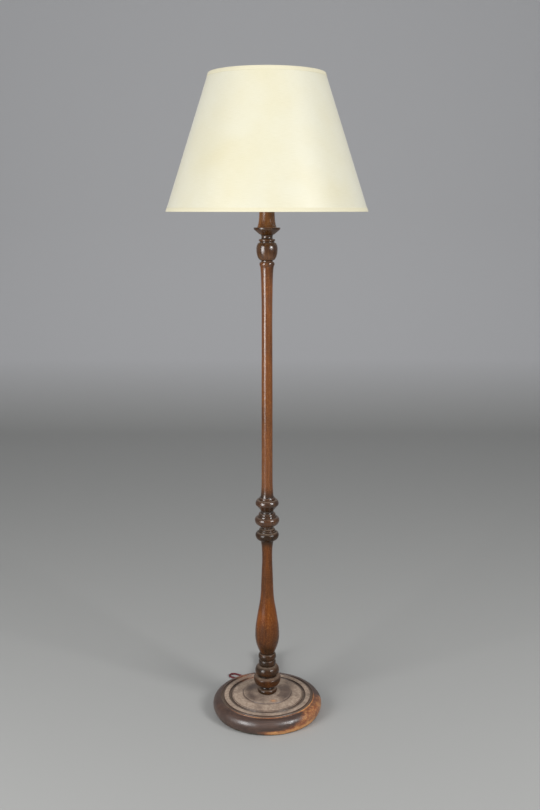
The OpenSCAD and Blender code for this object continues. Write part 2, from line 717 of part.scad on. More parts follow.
module shade_cover() {
    color(ivory) rotate_extrude() polygon([
        [cover_r(cover_foot) - cover_t, cover_foot], [cover_r(cover_foot), cover_foot],
        [cover_r(cover_head), cover_head], [cover_r(cover_head) - cover_t, cover_head]
    ]);
}
// Tape that lies on the outside of the cover and turns over its edge, from the edge at z0 to z1
module shade_tape(z0, z1) {
    lip = sign(z0 - z1) * tape_t;
    gap = wire_gap;
    color(tape) rotate_extrude() polygon([
        [cover_r(z0) + gap, z0], [cover_r(z0) - cover_t, z0], [cover_r(z0) - cover_t, z0 + lip],
        [cover_r(z0) + tape_t, z0 + lip], [cover_r(z1) + tape_t, z1], [cover_r(z1) + gap, z1]
    ]);
}
module shade_top_trim() { shade_tape(cover_head, cover_head - tape_w); }
module shade_bottom_trim() { shade_tape(cover_foot, cover_foot + tape_w); }

// ---- finial ----
finial_z = shade_seat + spider_washer_t + finial_washer_t;
module finial_washer() {
    color(brass) translate([0, 0, finial_z - finial_washer_t]) difference() {
        cylinder(d = spider_washer_d / 2, h = finial_washer_t);
        translate([0, 0, -cut]) cylinder(d = stud_d + 2 * slide_gap, h = finial_washer_t + 2 * cut);
    }
}
finial_stack = [
    ["plain", 2, 12, 12],
    ["level first", 3, 11, 7.5],
    ["upright first", 2, 7.5, 9],
    ["bead", 12, 8, 4, finial_d],
    ["bead", finial_h - 19, 4, 1, 4.6]
];
module finial() {
    color(brass) difference() {
        rotate_extrude() polygon(concat([[0, finial_z]], outline(finial_stack, finial_z),
            [[0, finial_z + height(finial_stack)]]));
        translate([0, 0, finial_z - cut])
            cylinder(d = stud_d + 0.16, h = stud_l - spider_washer_t - finial_washer_t + 1 + cut);
    }
}

// ---- socket ----
shell_d = shell_bore_d + 2 * brass_t;
// Heights of the cap's neck and of its bowl; the shell stands in the rim above the bowl
cap_neck_h = 5;
cap_bowl_h = 9;
shell_z = socket_z + cap_neck_h + brass_t + cap_bowl_h + 0.4;
liner_t = 0.8;
body_d = shell_bore_d - 2 * liner_t - 1;
body_z = socket_z + 16;
body_top = socket_z + 38;
switch_z = socket_z + switch_up;
nozzle_d = 9;
nozzle_y = shell_d / 2 + 1.4;
// Cuts a slot for the switch through a tube of the socket, open at the tube's foot
module switch_slot(z) {
    w = nozzle_d + 1;
    translate([-w / 2, -shell_d, z - cut]) cube([w, shell_d, switch_z - z + cut]);
    translate([0, 0, switch_z]) rotate([90, 0, 0]) cylinder(d = w, h = shell_d);
}
module socket_cap() {
    rim_r = shell_d / 2 + 0.1;
    color(brass) translate([0, 0, socket_z]) rotate_extrude() polygon(concat(
        [[pipe_d / 2 + thread_gap, 0], [8, 0], [8, 4]],
        [for (k = [0:curve_steps]) let (a = 90 * k / curve_steps)
            [8 + (rim_r + brass_t - 8) * sin(a), cap_neck_h + cap_bowl_h * (1 - cos(a))]],
        [[rim_r + brass_t, 20], [rim_r, 20]],
        [for (k = [curve_steps:-1:0]) let (a = 90 * k / curve_steps)
            [8 + (rim_r - 8) * sin(a), cap_neck_h + brass_t + cap_bowl_h * (1 - cos(a))]],
        [[8, 9], [pipe_d / 2 + thread_gap, 9]]
    ));
}
module socket_shell() {
    mouth = shell_z + shell_l;
    color(brass) difference() {
        rotate_extrude() polygon([
            [shell_bore_d / 2, shell_z], [shell_d / 2, shell_z], [shell_d / 2, mouth - 3],
            [shell_d / 2 + 1.2, mouth - 2], [shell_d / 2 + 1.2, mouth - 1], [shell_d / 2, mouth],
            [shell_bore_d / 2, mouth]
        ]);
        switch_slot(shell_z);
    }
}
module socket_liner() {
    liner_z = shell_z + 2;
    color(liner_card) difference() {
        translate([0, 0, liner_z]) cylinder(d = shell_bore_d - 0.2, h = shell_l - 3);
        translate([0, 0, liner_z - cut]) cylinder(d = shell_bore_d - 2 * liner_t, h = shell_l);
        switch_slot(liner_z);
    }
}
module socket_body() {
    color(phenolic) difference() {
        union() {
            translate([0, 0, body_z]) cylinder(d = body_d, h = body_top - body_z);
            translate([0, 0, switch_z]) rotate([90, 0, 0]) cylinder(d = nozzle_d, h = nozzle_y);
        }
        translate([0, 0, switch_z]) rotate([90, 0, 0]) translate([0, 0, stem_seat])
            cylinder(d = stem_d + 2 * slide_gap, h = nozzle_y);
    }
}
screw_shell_d = cap_d + 1.9;
screw_shell_bore = cap_d + 0.9;
contact_top = body_top + 2.2;
module screw_shell() {
    color(brass) translate([0, 0, body_top]) difference() {
        cylinder(d = screw_shell_d, h = 22);
        translate([0, 0, brass_t]) cylinder(d = screw_shell_bore, h = 22);
        translate([0, 0, -cut]) cylinder(d = 12, h = 3);
    }
}
module centre_contact() {
    color(brass) translate([0, 0, body_top]) cylinder(d = 6, h = contact_top - body_top);
}
stem_seat = 6;
knob_y = nozzle_y + 1;
module switch_stem() {
    color(brass) translate([0, -stem_seat, switch_z]) rotate([90, 0, 0])
        cylinder(d = stem_d, h = knob_y - stem_seat);
}
module switch_knob() {
    hub_l = 4;
    color(phenolic) translate([0, -knob_y, switch_z]) rotate([90, 0, 0]) {
        cylinder(d1 = 9, d2 = 8, h = hub_l);
        hull() for (x = [-1, 1]) translate([x * (knob_w - 7) / 2, 0, 0]) {
            translate([0, 0, hub_l]) cylinder(d = 5, h = 0.1, $fn = 24);
            translate([0, 0, knob_l - 1.5]) cylinder(d1 = 7, d2 = 5, h = 1.5, $fn = 24);
        }
    }
}

// ---- bulb ----
bulb_z = contact_top;
cap_foot = bulb_z + 4.8;
cap_top = cap_foot + 21;
module bulb_contact() {
    color(phenolic) translate([0, 0, bulb_z]) rotate_extrude() polygon([
        [0, 0], [3, 0], [4.6, 0.8], [4.6, 1.8], [9.6, 4.8], [0, 4.8]
    ]);
}
module bulb_cap() {
    color(brass) translate([0, 0, cap_foot]) rotate_extrude() polygon([
        [0, 0], [9.6, 0], [cap_d / 2 - 1, 2], [cap_d / 2, 3], [cap_d / 2, 19], [cap_d / 2 + 0.4, 21],
        [cap_d / 2 - 1, 21], [cap_d / 2 - 1, 3], [0, 3]
    ]);
}
// Radius of the glass at a share of its height below the widest part
bulb_neck_r = cap_d / 2 + 0.3;
bulb_wide_z = cap_top + bulb_h - bulb_d / 2;
function glass_outline(inset) = concat(
    [for (k = [0:2 * curve_steps]) let (t = k / curve_steps / 2)
        [bulb_neck_r - inset + (bulb_d / 2 - bulb_neck_r) * (1 - cos(180 * t)) / 2,
            cap_top + (bulb_wide_z - cap_top) * t]],
    [for (k = [1:2 * curve_steps]) let (a = 45 * k / curve_steps)
        [(bulb_d / 2 - inset) * cos(a), bulb_wide_z + (bulb_d / 2 - inset) * sin(a)]]
);
module bulb_glass() {
    color(glass) rotate_extrude() polygon(concat(glass_outline(0), reversed(glass_outline(glass_t))));
}
stem_top = cap_top + 28;
filament_z = cap_top + 44;
module bulb_stem() {
    color(glass) {
        translate([0, 0, cap_foot + 3]) cylinder(d1 = 18, d2 = 7, h = cap_top - cap_foot + 4);
        translate([0, 0, cap_top + 6]) cylinder(d = 5, h = stem_top - cap_top - 6);
        for (side = [-1, 1]) translate([0, 0, stem_top - 2]) rotate([0, side * 28, 0])
            cylinder(d = 0.9, h = 20, $fn = 16);
        translate([0, 0, filament_z - 9]) rotate([90, 0, 0]) rotate(40) rotate_extrude(angle = 100)
            translate([11, 0]) circle(d = 1, $fn = 16);
    }
}

// ---- cord ----
cord_r = cord_d / 2;
floor_z = cord_r + 0.1;
bushing_d = cord_d + 3.4;
bushing_flange_d = bushing_d + 2.4;
bushing_seat_r = base_r - base_undercut - 0.5;
bushing_face_r = bushing_seat_r + 2.4;
nose_r = bushing_face_r + nose_l;
cord_fit = 0.1;
module cord_bushing() {
    color(cord_black) rotate(cord_angle) translate([0, 0, cord_z]) rotate([0, 90, 0]) difference() {
        union() {
            translate([0, 0, weight_d / 2 + 1]) cylinder(d = bushing_d, h = bushing_seat_r - weight_d / 2);
            translate([0, 0, bushing_seat_r])
                cylinder(d = bushing_flange_d, h = bushing_face_r - bushing_seat_r);
            translate([0, 0, bushing_face_r - 0.5])
                cylinder(d1 = bushing_d + 2, d2 = cord_d + 1.6, h = nose_l + 0.5);
        }
        cylinder(d = cord_d + 2 * cord_fit, h = base_d);
    }
}
jacket_end_r = 17;
wire_bend = 4.4;
wire_z = pipe_foot - wire_bend;
module pipe_wires() {
    spread = wire_d / 2 + 0.15;
    color(copper) rotate(cord_angle) for (side = [-1, 1]) translate([0, side * spread, 0]) {
        translate([wire_bend, 0, wire_z]) rotate([0, 90, 0])
            cylinder(d = wire_d, h = jacket_end_r - wire_bend, $fn = 24);
        translate([wire_bend, 0, wire_z + wire_bend]) rotate([90, 0, 0]) rotate(180)
            rotate_extrude(angle = 90) translate([wire_bend, 0]) circle(d = wire_d, $fn = 24);
        translate([0, 0, wire_z + wire_bend]) cylinder(d = wire_d, h = body_z - wire_z - wire_bend, $fn = 24);
    }
}

// Inside the base the cord runs level out of the bushing and then sinks to the height of the pipe's wires.
level_end_r = weight_d / 2 - 8;
in_base_points = concat([[nose_r, 0, cord_z], [weight_d / 2, 0, cord_z]], [for (k = [0:8]) let (t = k / 8)
    [level_end_r + (jacket_end_r - level_end_r) * t, 0,
        cord_z + (wire_z - cord_z) * (1 - cos(180 * t)) / 2]]);
module cord_in_base() {
    color(cord_red) rotate(cord_angle) tube(in_base_points, 8, cord_d, [-1, 0, 0], [-1, 0, 0]);
}

// The hank: two turns a layer. For a turn and three quarters the cord spirals, in on one layer
// and out on the next, and in the quarter turn that is left it climbs along the right-hand run.
spiral_turns = 1.75;
hank_r = fold_r + spiral_turns * loop_step;
rings_per_turn = 24;
half_run = run_l / 2;
waist_lift = 1;
function clamp(t) = min(1, max(0, t));
function layer_at(u) = floor((u + 2 - spiral_turns) / 2);
function turn_in_layer(u) = u + 2 - spiral_turns - 2 * layer_at(u);
function fold_radius(u) = let (spiral = loop_step * min(turn_in_layer(u), spiral_turns))
    layer_at(u) % 2 == 0 ? hank_r - spiral : fold_r + spiral;
function climb(u) = layer_step
    * (layer_at(u) + clamp((turn_in_layer(u) - spiral_turns) / (2 - spiral_turns)));
function hank_point(u) = let (
        rho = fold_radius(u), quarter = floor((u - floor(u)) * 4), s = (u - floor(u)) * 4 - quarter,
        waist = quarter % 2 == 0 ? pow(sin(180 * s), 2) : 0, x = rho - waist_draw * waist,
        z = floor_z + climb(u) + waist_lift * waist)
    quarter == 0 ? [-x, hank_y - half_run + run_l * s, z]
    : quarter == 1 ? [-rho * cos(180 * s), hank_y + half_run + rho * sin(180 * s), z]
    : quarter == 2 ? [x, hank_y + half_run - run_l * s, z]
    : [rho * cos(180 * s), hank_y - half_run - rho * sin(180 * s), z];
turns = 2 * hank_layers;
plug_axis_z = floor_z + (hank_layers - 1) * layer_step + cord_r + plug_t / 2 + 0.9;
tail_z = floor_z + hank_layers * layer_step;
// The tail runs over the top of the hank to the plug
relief_y = hank_y + 12;
tail_points = [
    [-fold_radius(0), hank_y - half_run, tail_z], [-fold_radius(0) + 1.5, hank_y - 35, tail_z + 0.6],
    [-13, hank_y - 24, tail_z + 1.9], [-8, hank_y - 14, tail_z + 3.1], [-3, hank_y - 5, plug_axis_z - 0.3],
    [0, hank_y + 5, plug_axis_z], [0, relief_y, plug_axis_z]
];
hank_points = concat([for (i = [0:turns * rings_per_turn - 1]) hank_point(i / rings_per_turn)], tail_points);
module cord_hank() {
    color(cord_red) tube(hank_points, 6, cord_d, [0, 1, 0], [0, 1, 0]);
}

// The free stretch: from the bushing's nose down to the floor, round a short bight and back to the hank
exit_way = [cos(cord_angle), sin(cord_angle), 0];
cord_exit = nose_r * exit_way + [0, 0, cord_z];
run_points = concat([cord_exit, cord_exit + 5 * exit_way], [
    [-78, 146, 5.6], [-82, 151.5, 3.6], [-88.5, 157, floor_z], [-96, 161.5, floor_z], [-101, 167, floor_z],
    [-101, 174, floor_z], [-96, 179.5, floor_z], [-88.5, 180, floor_z], [-80, 176, floor_z],
    [-71, 170.5, floor_z], [-62, 165, floor_z], [-53, 159.5, floor_z], [-44, 154.5, floor_z], [-35.5, 150.5, floor_z],
    [-28, 150, floor_z], [-21.5, 153.5, floor_z]
], [hank_point(0)]);
module cord_run() {
    color(cord_red) tube(run_points, 8, cord_d, exit_way, [0, 1, 0]);
}

// Least gap of the hank to itself, on points twice as close as its rings
gap_points = concat([for (i = [0:turns * 2 * rings_per_turn - 1]) hank_point(i / rings_per_turn / 2)],
    tail_points);
function least_gap(p, apart) =
    min([for (i = [0:len(p) - 1 - apart]) min([for (j = [i + apart:len(p) - 1]) norm(p[i] - p[j])])]);
function length_of(p, i = 1) = i == len(p) ? 0 : norm(p[i] - p[i - 1]) + length_of(p, i + 1);
echo(hank_least_gap_mm = least_gap(gap_points, 8) - cord_d);
echo(free_cord_length_mm = length_of(run_points) + length_of(gap_points));

module hank_tie() {
    slack = 0.4;
    left = fold_radius(0.125) - waist_draw + cord_r + slack;
    right = hank_r - waist_draw + cord_r + slack;
    foot = floor_z + waist_lift - cord_r - slack;
    head = floor_z + waist_lift + (hank_layers - 0.5) * layer_step + cord_r + slack;
    t = 0.5;
    w = 8;
    color(cord_black) translate([(right - left) / 2, hank_y + w / 2, (foot + head) / 2]) rotate([90, 0, 0])
        linear_extrude(w) difference() {
            rounded(left + right + 2 * t, head - foot + 2 * t, 3);
            rounded(left + right, head - foot, 2.5);
        }
}
module rounded(w, h, r) {
    hull() for (x = [-1, 1], y = [-1, 1]) translate([x * (w / 2 - r), y * (h / 2 - r)]) circle(r, $fn = 24);
}

// ---- plug ----
relief_l = 22;
plug_y = relief_y + relief_l;
module plug_body() {
    color(cord_black) {
        translate([0, relief_y, plug_axis_z]) rotate([-90, 0, 0])
            cylinder(d1 = cord_d + 2, d2 = plug_t - 3, h = relief_l);
        hull() {
            translate([0, plug_y - 1, plug_axis_z]) rotate([-90, 0, 0]) linear_extrude(1)
                rounded(plug_w * 0.62, plug_t - 3, 3);
            translate([0, plug_y + plug_l * 0.45, plug_axis_z]) rotate([-90, 0, 0])
                linear_extrude(plug_l * 0.55) rounded(plug_w, plug_t, 3);
        }
    }
}
module plug_blades() {
    color(brass) for (side = [-1, 1])
        translate([side * blade_gap / 2 - 0.75, plug_y + plug_l, plug_axis_z - 3.2])
            cube([1.5, blade_l, 6.4]);
}

base_disc();
base_felt();
ballast_weight();
ballast_screws();
pipe_nut();
pipe_washer();
lower_column();
upper_column();
capital();
candle_sleeve();
lamp_pipe();
sleeve_ring();
harp_saddle();
saddle_nut();
socket_cap();
socket_shell();
socket_liner();
socket_body();
screw_shell();
centre_contact();
switch_stem();
switch_knob();
harp_wire();
harp_shoes();
harp_stud();
ferrule_left();
ferrule_right();
shade_spider();
shade_bottom_ring();
shade_cover();
shade_top_trim();
shade_bottom_trim();
finial_washer();
finial();
bulb_contact();
bulb_cap();
bulb_glass();
bulb_stem();
pipe_wires();
cord_in_base();
cord_bushing();
cord_run();
cord_hank();
hank_tie();
plug_body();
plug_blades();
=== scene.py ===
"""Candlestick floor lamp: a turned wooden stand, a harp, and a silk-covered empire shade."""
import math

import bmesh
import bpy
import numpy as np
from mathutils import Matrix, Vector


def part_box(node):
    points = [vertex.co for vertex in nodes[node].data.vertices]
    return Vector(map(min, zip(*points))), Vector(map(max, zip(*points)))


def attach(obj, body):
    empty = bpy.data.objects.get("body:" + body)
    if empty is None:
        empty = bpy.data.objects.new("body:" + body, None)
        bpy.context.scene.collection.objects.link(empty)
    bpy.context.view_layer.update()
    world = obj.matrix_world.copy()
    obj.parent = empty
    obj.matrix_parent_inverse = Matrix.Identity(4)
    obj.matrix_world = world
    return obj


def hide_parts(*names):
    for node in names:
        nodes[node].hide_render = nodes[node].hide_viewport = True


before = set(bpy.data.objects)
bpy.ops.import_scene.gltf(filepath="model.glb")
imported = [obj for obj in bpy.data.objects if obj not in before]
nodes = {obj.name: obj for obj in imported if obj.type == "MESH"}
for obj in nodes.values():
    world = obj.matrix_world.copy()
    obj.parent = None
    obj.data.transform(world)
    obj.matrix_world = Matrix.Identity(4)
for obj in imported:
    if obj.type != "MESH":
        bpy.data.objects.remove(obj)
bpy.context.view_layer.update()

# ---- The view -------------------------------------------------------------------------------------
# The lamp is photographed square to its front from 2.2 m, with the camera level with the shade's
# lower edge and tilted a little down, so that the top of the base shows.
camera_data = bpy.data.cameras.new("camera")
camera_data.sensor_width = 36.0
camera_data.lens = 42.72
camera = bpy.data.objects.new("camera", camera_data)
camera.location = (0.0069, -2.2176, 1.2319)
camera.rotation_euler = (math.radians(90 - 11.526), 0.0, 0.0)
scene = bpy.context.scene
scene.collection.objects.link(camera)
scene.camera = camera
scene.view_settings.view_transform = "Standard"

# ---- Cord and hank --------------------------------------------------------------------------------
# A limp two-core cord under a maroon braided cover, 4.8 mm thick. It leaves the base at the rear left,
# turns in a short bight on the floor, and the rest is folded into a hank of eight turns behind the
# base, with its end carried over the top of the hank to the plug.
MM = 0.001
cord_d = 4.8
cord_r = cord_d / 2
floor_z = cord_r + 0.1
cord_angle = math.radians(118)
exit_way = np.array([math.cos(cord_angle), math.sin(cord_angle), 0.0])
nose_r = 150.9
cord_exit = nose_r * exit_way + [0, 0, 9]
fold_r = 10
loop_step = 5.4
layer_step = 5.3
run_l = 90
waist_draw = 5
waist_lift = 1
hank_layers = 4
hank_y = 205
spiral_turns = 1.75
hank_r = fold_r + spiral_turns * loop_step
plug_axis_z = floor_z + (hank_layers - 1) * layer_step + cord_r + 7.4
tail_z = floor_z + hank_layers * layer_step
relief_y = hank_y + 12


def hank_line(u):
    """The hank's centreline at u turns: up the left run, round the far fold, down the right run and
    round the near fold. The fold's radius shrinks at a steady rate on one layer and grows on the
    next, and in the quarter turn between them the cord climbs along the right run. The runs draw
    in and lift at the waist as a squared sine."""
    layer = np.floor((u + 2 - spiral_turns) / 2)
    along = u + 2 - spiral_turns - 2 * layer
    spiral = loop_step * np.minimum(along, spiral_turns)
    rho = np.where(layer % 2 == 0, hank_r - spiral, fold_r + spiral)
    climb = layer_step * (layer + np.clip((along - spiral_turns) / (2 - spiral_turns), 0, 1))
    quarter = np.floor(u % 1 * 4)
    s = u % 1 * 4 - quarter
    waist = np.where(quarter % 2 == 0, np.sin(np.pi * s) ** 2, 0)
    reach = rho - waist_draw * waist
    side = np.cos(np.pi * s) * rho
    fold = np.sin(np.pi * s) * rho
    x = np.select([quarter == 0, quarter == 1, quarter == 2], [-reach, -side, reach], side)
    y = np.select([quarter == 0, quarter == 1, quarter == 2],
                  [run_l * (s - 0.5), run_l / 2 + fold, run_l * (0.5 - s)], -run_l / 2 - fold)
    return np.stack([x, hank_y + y, floor_z + climb + waist_lift * waist], 1)


def smooth_route(points, per_span):
    """A Catmull-Rom curve through the points: each span is a cubic that leaves and arrives along the
    line between the points on either side of it."""
    p = np.vstack([2 * points[0] - points[1], points, 2 * points[-1] - points[-2]])
    t = (np.arange(per_span) / per_span)[None, :, None]
    a, b, c, d = (p[i:len(p) - 3 + i, None, :] for i in range(4))
    spans = b + 0.5 * t * (c - a) + t**2 * (a - 2.5 * b + 2 * c - 0.5 * d)
    spans = spans + t**3 * (1.5 * (b - c) + 0.5 * (d - a))
    return np.vstack([spans.reshape(-1, 3), points[-1]])


run_points = np.array([
    cord_exit, cord_exit + 5 * exit_way,
    [-78, 146, 5.6], [-82, 151.5, 3.6], [-88.5, 157, floor_z], [-96, 161.5, floor_z], [-101, 167, floor_z],
    [-101, 174, floor_z], [-96, 179.5, floor_z], [-88.5, 180, floor_z], [-80, 176, floor_z],
    [-71, 170.5, floor_z], [-62, 165, floor_z], [-53, 159.5, floor_z], [-44, 154.5, floor_z],
    [-35.5, 150.5, floor_z], [-28, 150, floor_z], [-21.5, 153.5, floor_z], hank_line(np.zeros(1))[0],
])
hank_x = run_points[-1][0]
tail_points = np.array([
    [hank_x, hank_y - run_l / 2, tail_z], [hank_x + 1.5, hank_y - 35, tail_z + 0.6],
    [-13, hank_y - 24, tail_z + 1.9], [-8, hank_y - 14, tail_z + 3.1], [-3, hank_y - 5, plug_axis_z - 0.3],
    [0, hank_y + 5, plug_axis_z], [0, relief_y, plug_axis_z],
])
turns = 2 * hank_layers
cord_line = MM * np.vstack([
    smooth_route(run_points, 6)[:-1], hank_line(np.arange(turns * 56) / 56), smooth_route(tail_points, 6),
])


def surface(name, grid, close_u=False, close_v=False, uv=None, crease=35):
    """A mesh over a grid of points, u along its rows and v across them, with a quad between each
    four. A side can close on itself, and a row that has shrunk to a point becomes one vertex."""
    rows, columns = grid.shape[:2]
    index = np.arange(rows * columns).reshape(rows, columns)
    u = np.arange(rows if close_u else rows - 1)
    v = np.arange(columns if close_v else columns - 1)
    u0, v0 = (a.ravel() for a in np.meshgrid(u, v, indexing="ij"))
    u1, v1 = (u0 + 1) % rows, (v0 + 1) % columns
    quads = np.stack([index[u0, v0], index[u1, v0], index[u1, v1], index[u0, v1]], 1)
    mesh = bpy.data.meshes.new(name)
    mesh.from_pydata(grid.reshape(-1, 3).tolist(), [], quads.tolist())
    if uv is not None:
        corners = np.stack([uv[u0, v0], uv[u0 + 1, v0], uv[u0 + 1, v0 + 1], uv[u0, v0 + 1]], 1)
        mesh.uv_layers.new(name="along").data.foreach_set("uv", corners.reshape(-1).astype(np.float32))
    work = bmesh.new()
    work.from_mesh(mesh)
    bmesh.ops.remove_doubles(work, verts=work.verts, dist=1e-7)
    bmesh.ops.dissolve_degenerate(work, edges=work.edges, dist=1e-7)
    bmesh.ops.recalc_face_normals(work, faces=work.faces)
    work.to_mesh(mesh)
    work.free()
    mesh.shade_smooth()
    mesh.set_sharp_from_angle(angle=math.radians(crease))
    piece = bpy.data.objects.new(name, mesh)
    scene.collection.objects.link(piece)
    return piece


def tube(name, line, diameter, sides, up=(0, 0, 1)):
    """A round tube carried along a line of points. Its ring's directions are the cross products of
    up with the line's own direction, and its ends are drawn in to a point."""
    way = np.gradient(line, axis=0)
    way /= np.linalg.norm(way, axis=1, keepdims=True)
    across = np.cross(up, way)
    across /= np.linalg.norm(across, axis=1, keepdims=True)
    over = np.cross(way, across)
    far = np.concatenate([[0], np.cumsum(np.linalg.norm(np.diff(line, axis=0), axis=1))])
    ring = np.concatenate([[0], np.arange(len(line)), [len(line) - 1]])
    radius = np.where((np.arange(len(ring)) == 0) | (np.arange(len(ring)) == len(ring) - 1), 0, diameter / 2)
    angle = 2 * np.pi * np.arange(sides) / sides
    c, n = np.cos(angle)[None, :, None], np.sin(angle)[None, :, None]
    grid = line[ring][:, None] + radius[:, None, None] * (c * across[ring][:, None] + n * over[ring][:, None])
    uv = np.stack(np.meshgrid(far[ring], np.arange(sides + 1) / sides, indexing="ij"), 2)
    return surface(name, grid, close_v=True, uv=uv, crease=60)


def linear(code, alpha=1.0):
    """An sRGB colour written as six hex digits, as linear light."""
    value = np.array([int(code[i:i + 2], 16) / 255 for i in (1, 3, 5)])
    light = np.where(value <= 0.04045, value / 12.92, ((value + 0.055) / 1.055) ** 2.4)
    return (*light.tolist(), alpha)


def add(tree, kind, inputs=(), stops=(), **settings):
    """Adds a node of that kind, sets its properties, and fills its sockets: a socket is linked where it
    is given another socket, or a node, whose first output is meant, and set where it is given a
    value. On a colour ramp, stops are its (place, hex colour) pairs."""
    item = tree.nodes.new("ShaderNode" + kind)
    for key, value in settings.items():
        setattr(item, key, value)
    for key, value in dict(inputs).items():
        if isinstance(value, bpy.types.Node):
            value = value.outputs[0]
        if isinstance(value, bpy.types.NodeSocket):
            tree.links.new(value, item.inputs[key])
        else:
            item.inputs[key].default_value = value
    for i, (place, code) in enumerate(stops):
        element = item.color_ramp.elements[i] if i < 2 else item.color_ramp.elements.new(place)
        element.position = place
        element.color = linear(code)
    return item


def new_material(name):
    """An empty material and its node tree, ending in one principled shader."""
    material = bpy.data.materials.new(name)
    material.use_nodes = True
    tree = material.node_tree
    tree.nodes.clear()
    shader = add(tree, "BsdfPrincipled")
    add(tree, "OutputMaterial", {"Surface": shader.outputs["BSDF"]})
    return material, tree, shader


def wear(piece, material):
    """Gives a piece, or a CAD node, one material all over."""
    piece.data.materials.clear()
    piece.data.materials.append(material)


# Braided cotton and rayon over rubber: the strands cross in two helices of about 2 mm, drawn a little
# coarse so that they show, and the cover is matt, with painted shade in the hollows between the strands.
braid, tree, shader = new_material("braided_cotton_cover")
strand_pitch = 0.0072
lay = add(tree, "SeparateXYZ", {"Vector": add(tree, "UVMap", uv_map="along")})
angle_along = add(tree, "Math", {0: lay.outputs["X"], 1: 2 * math.pi / strand_pitch}, operation="MULTIPLY")
waves = []
for carriers in (3, -3):
    angle_round = add(tree, "Math", {0: lay.outputs["Y"], 1: 2 * math.pi * carriers}, operation="MULTIPLY")
    helix = add(tree, "Math", {0: angle_along, 1: angle_round}, operation="ADD")
    waves.append(add(tree, "Math", {0: helix}, operation="SINE"))
crossing = add(tree, "Math", {0: waves[0], 1: waves[1]}, operation="MULTIPLY")
height = add(tree, "MapRange", {"Value": crossing, "From Min": -1.0, "From Max": 1.0})
place = add(tree, "TexCoord").outputs["Object"]
lint = add(tree, "TexNoise", {"Vector": place, "Scale": 900.0, "Detail": 3.0})
# the low hollows between the strands are coloured darker: painted shade
colour = add(tree, "ValToRGB", {"Fac": height}, stops=[(0.0, "#2b0d10"), (0.45, "#5a1e22"), (1.0, "#7e3034")])
tree.links.new(colour.outputs["Color"], shader.inputs["Base Color"])
rough = add(tree, "MapRange", {"Value": lint, "To Min": 0.7, "To Max": 0.95})
tree.links.new(rough.outputs[0], shader.inputs["Roughness"])
bump = add(tree, "Bump", {"Height": height, "Strength": 0.6, "Distance": 0.0004})
tree.links.new(bump.outputs[0], shader.inputs["Normal"])

# Inside the base the cord has no map of its own, so its cover is plain, with the same fibres.
plain_braid, tree, shader = new_material("braided_cover_inside_base")
place = add(tree, "TexCoord").outputs["Object"]
lint = add(tree, "TexNoise", {"Vector": place, "Scale": 700.0, "Detail": 4.0})
colour = add(tree, "ValToRGB", {"Fac": lint}, stops=[(0.3, "#3a1417"), (0.7, "#6a262a")])
tree.links.new(colour.outputs["Color"], shader.inputs["Base Color"])
shader.inputs["Roughness"].default_value = 0.9

cord = tube("free_cord", cord_line, cord_d * MM, 10)
wear(cord, braid)
wear(nodes["cord_in_base"], plain_braid)
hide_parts("cord_run", "cord_hank")
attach(cord, "stand")

# ---- Tie and plug ---------------------------------------------------------------------------------
# A strip of black hook-and-loop tape holds the hank's waist. The plug is a moulded two-pole plug of
# black rubber with a ribbed relief, two flat brass blades, and finger hollows in its sides.
tie_low, tie_high = (np.array(v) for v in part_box("hank_tie"))


def band(name, low, high, thickness, corner):
    """A band round a rounded rectangle in the X and Z directions, between two corners. Its section is
    a flat loop across Y and thickness, rounded a little at its edges."""
    centre = np.array([(low[0] + high[0]) / 2, (low[2] + high[2]) / 2])
    half = np.array([(high[0] - low[0]) / 2, (high[2] - low[2]) / 2]) - corner
    angle = 2 * np.pi * np.arange(96) / 96
    round_way = np.stack([np.cos(angle), np.sin(angle)], 1)
    # the middle line of the corner's quarter circles, pushed out to the straight sides between them
    base = centre + half * np.clip(round_way * 3, -1, 1)
    section = 2 * np.pi * (np.arange(16) + 0.5) / 16
    out = corner - thickness / 2 + thickness / 2 * np.sign(np.cos(section)) * np.abs(np.cos(section)) ** 0.4
    across = (high[1] - low[1]) / 2 * np.sign(np.sin(section)) * np.abs(np.sin(section)) ** 0.4
    x_z = base[:, None] + out[None, :, None] * round_way[:, None]
    y = np.broadcast_to((low[1] + high[1]) / 2 + across, x_z.shape[:2])
    return surface(name, np.stack([x_z[..., 0], y, x_z[..., 1]], 2), close_u=True, close_v=True, crease=70)


tie = band("hank_strap", tie_low, tie_high, 0.0006, 0.003)
tape_cloth, tree, shader = new_material("hook_and_loop_tape")
place = add(tree, "TexCoord").outputs["Object"]
loops = add(tree, "TexVoronoi", {"Vector": place, "Scale": 1400.0})
colour = add(tree, "ValToRGB", {"Fac": loops}, stops=[(0.0, "#2b2a2c"), (1.0, "#0f0f11")])
tree.links.new(colour.outputs["Color"], shader.inputs["Base Color"])
shader.inputs["Roughness"].default_value = 0.9
shader.inputs["Sheen Weight"].default_value = 0.3
bump = add(tree, "Bump", {"Height": loops, "Strength": 0.5, "Distance": 0.0003})
tree.links.new(bump.outputs[0], shader.inputs["Normal"])
wear(tie, tape_cloth)
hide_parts("hank_tie")
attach(tie, "stand")

plug_low, plug_high = (np.array(v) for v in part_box("plug_body"))


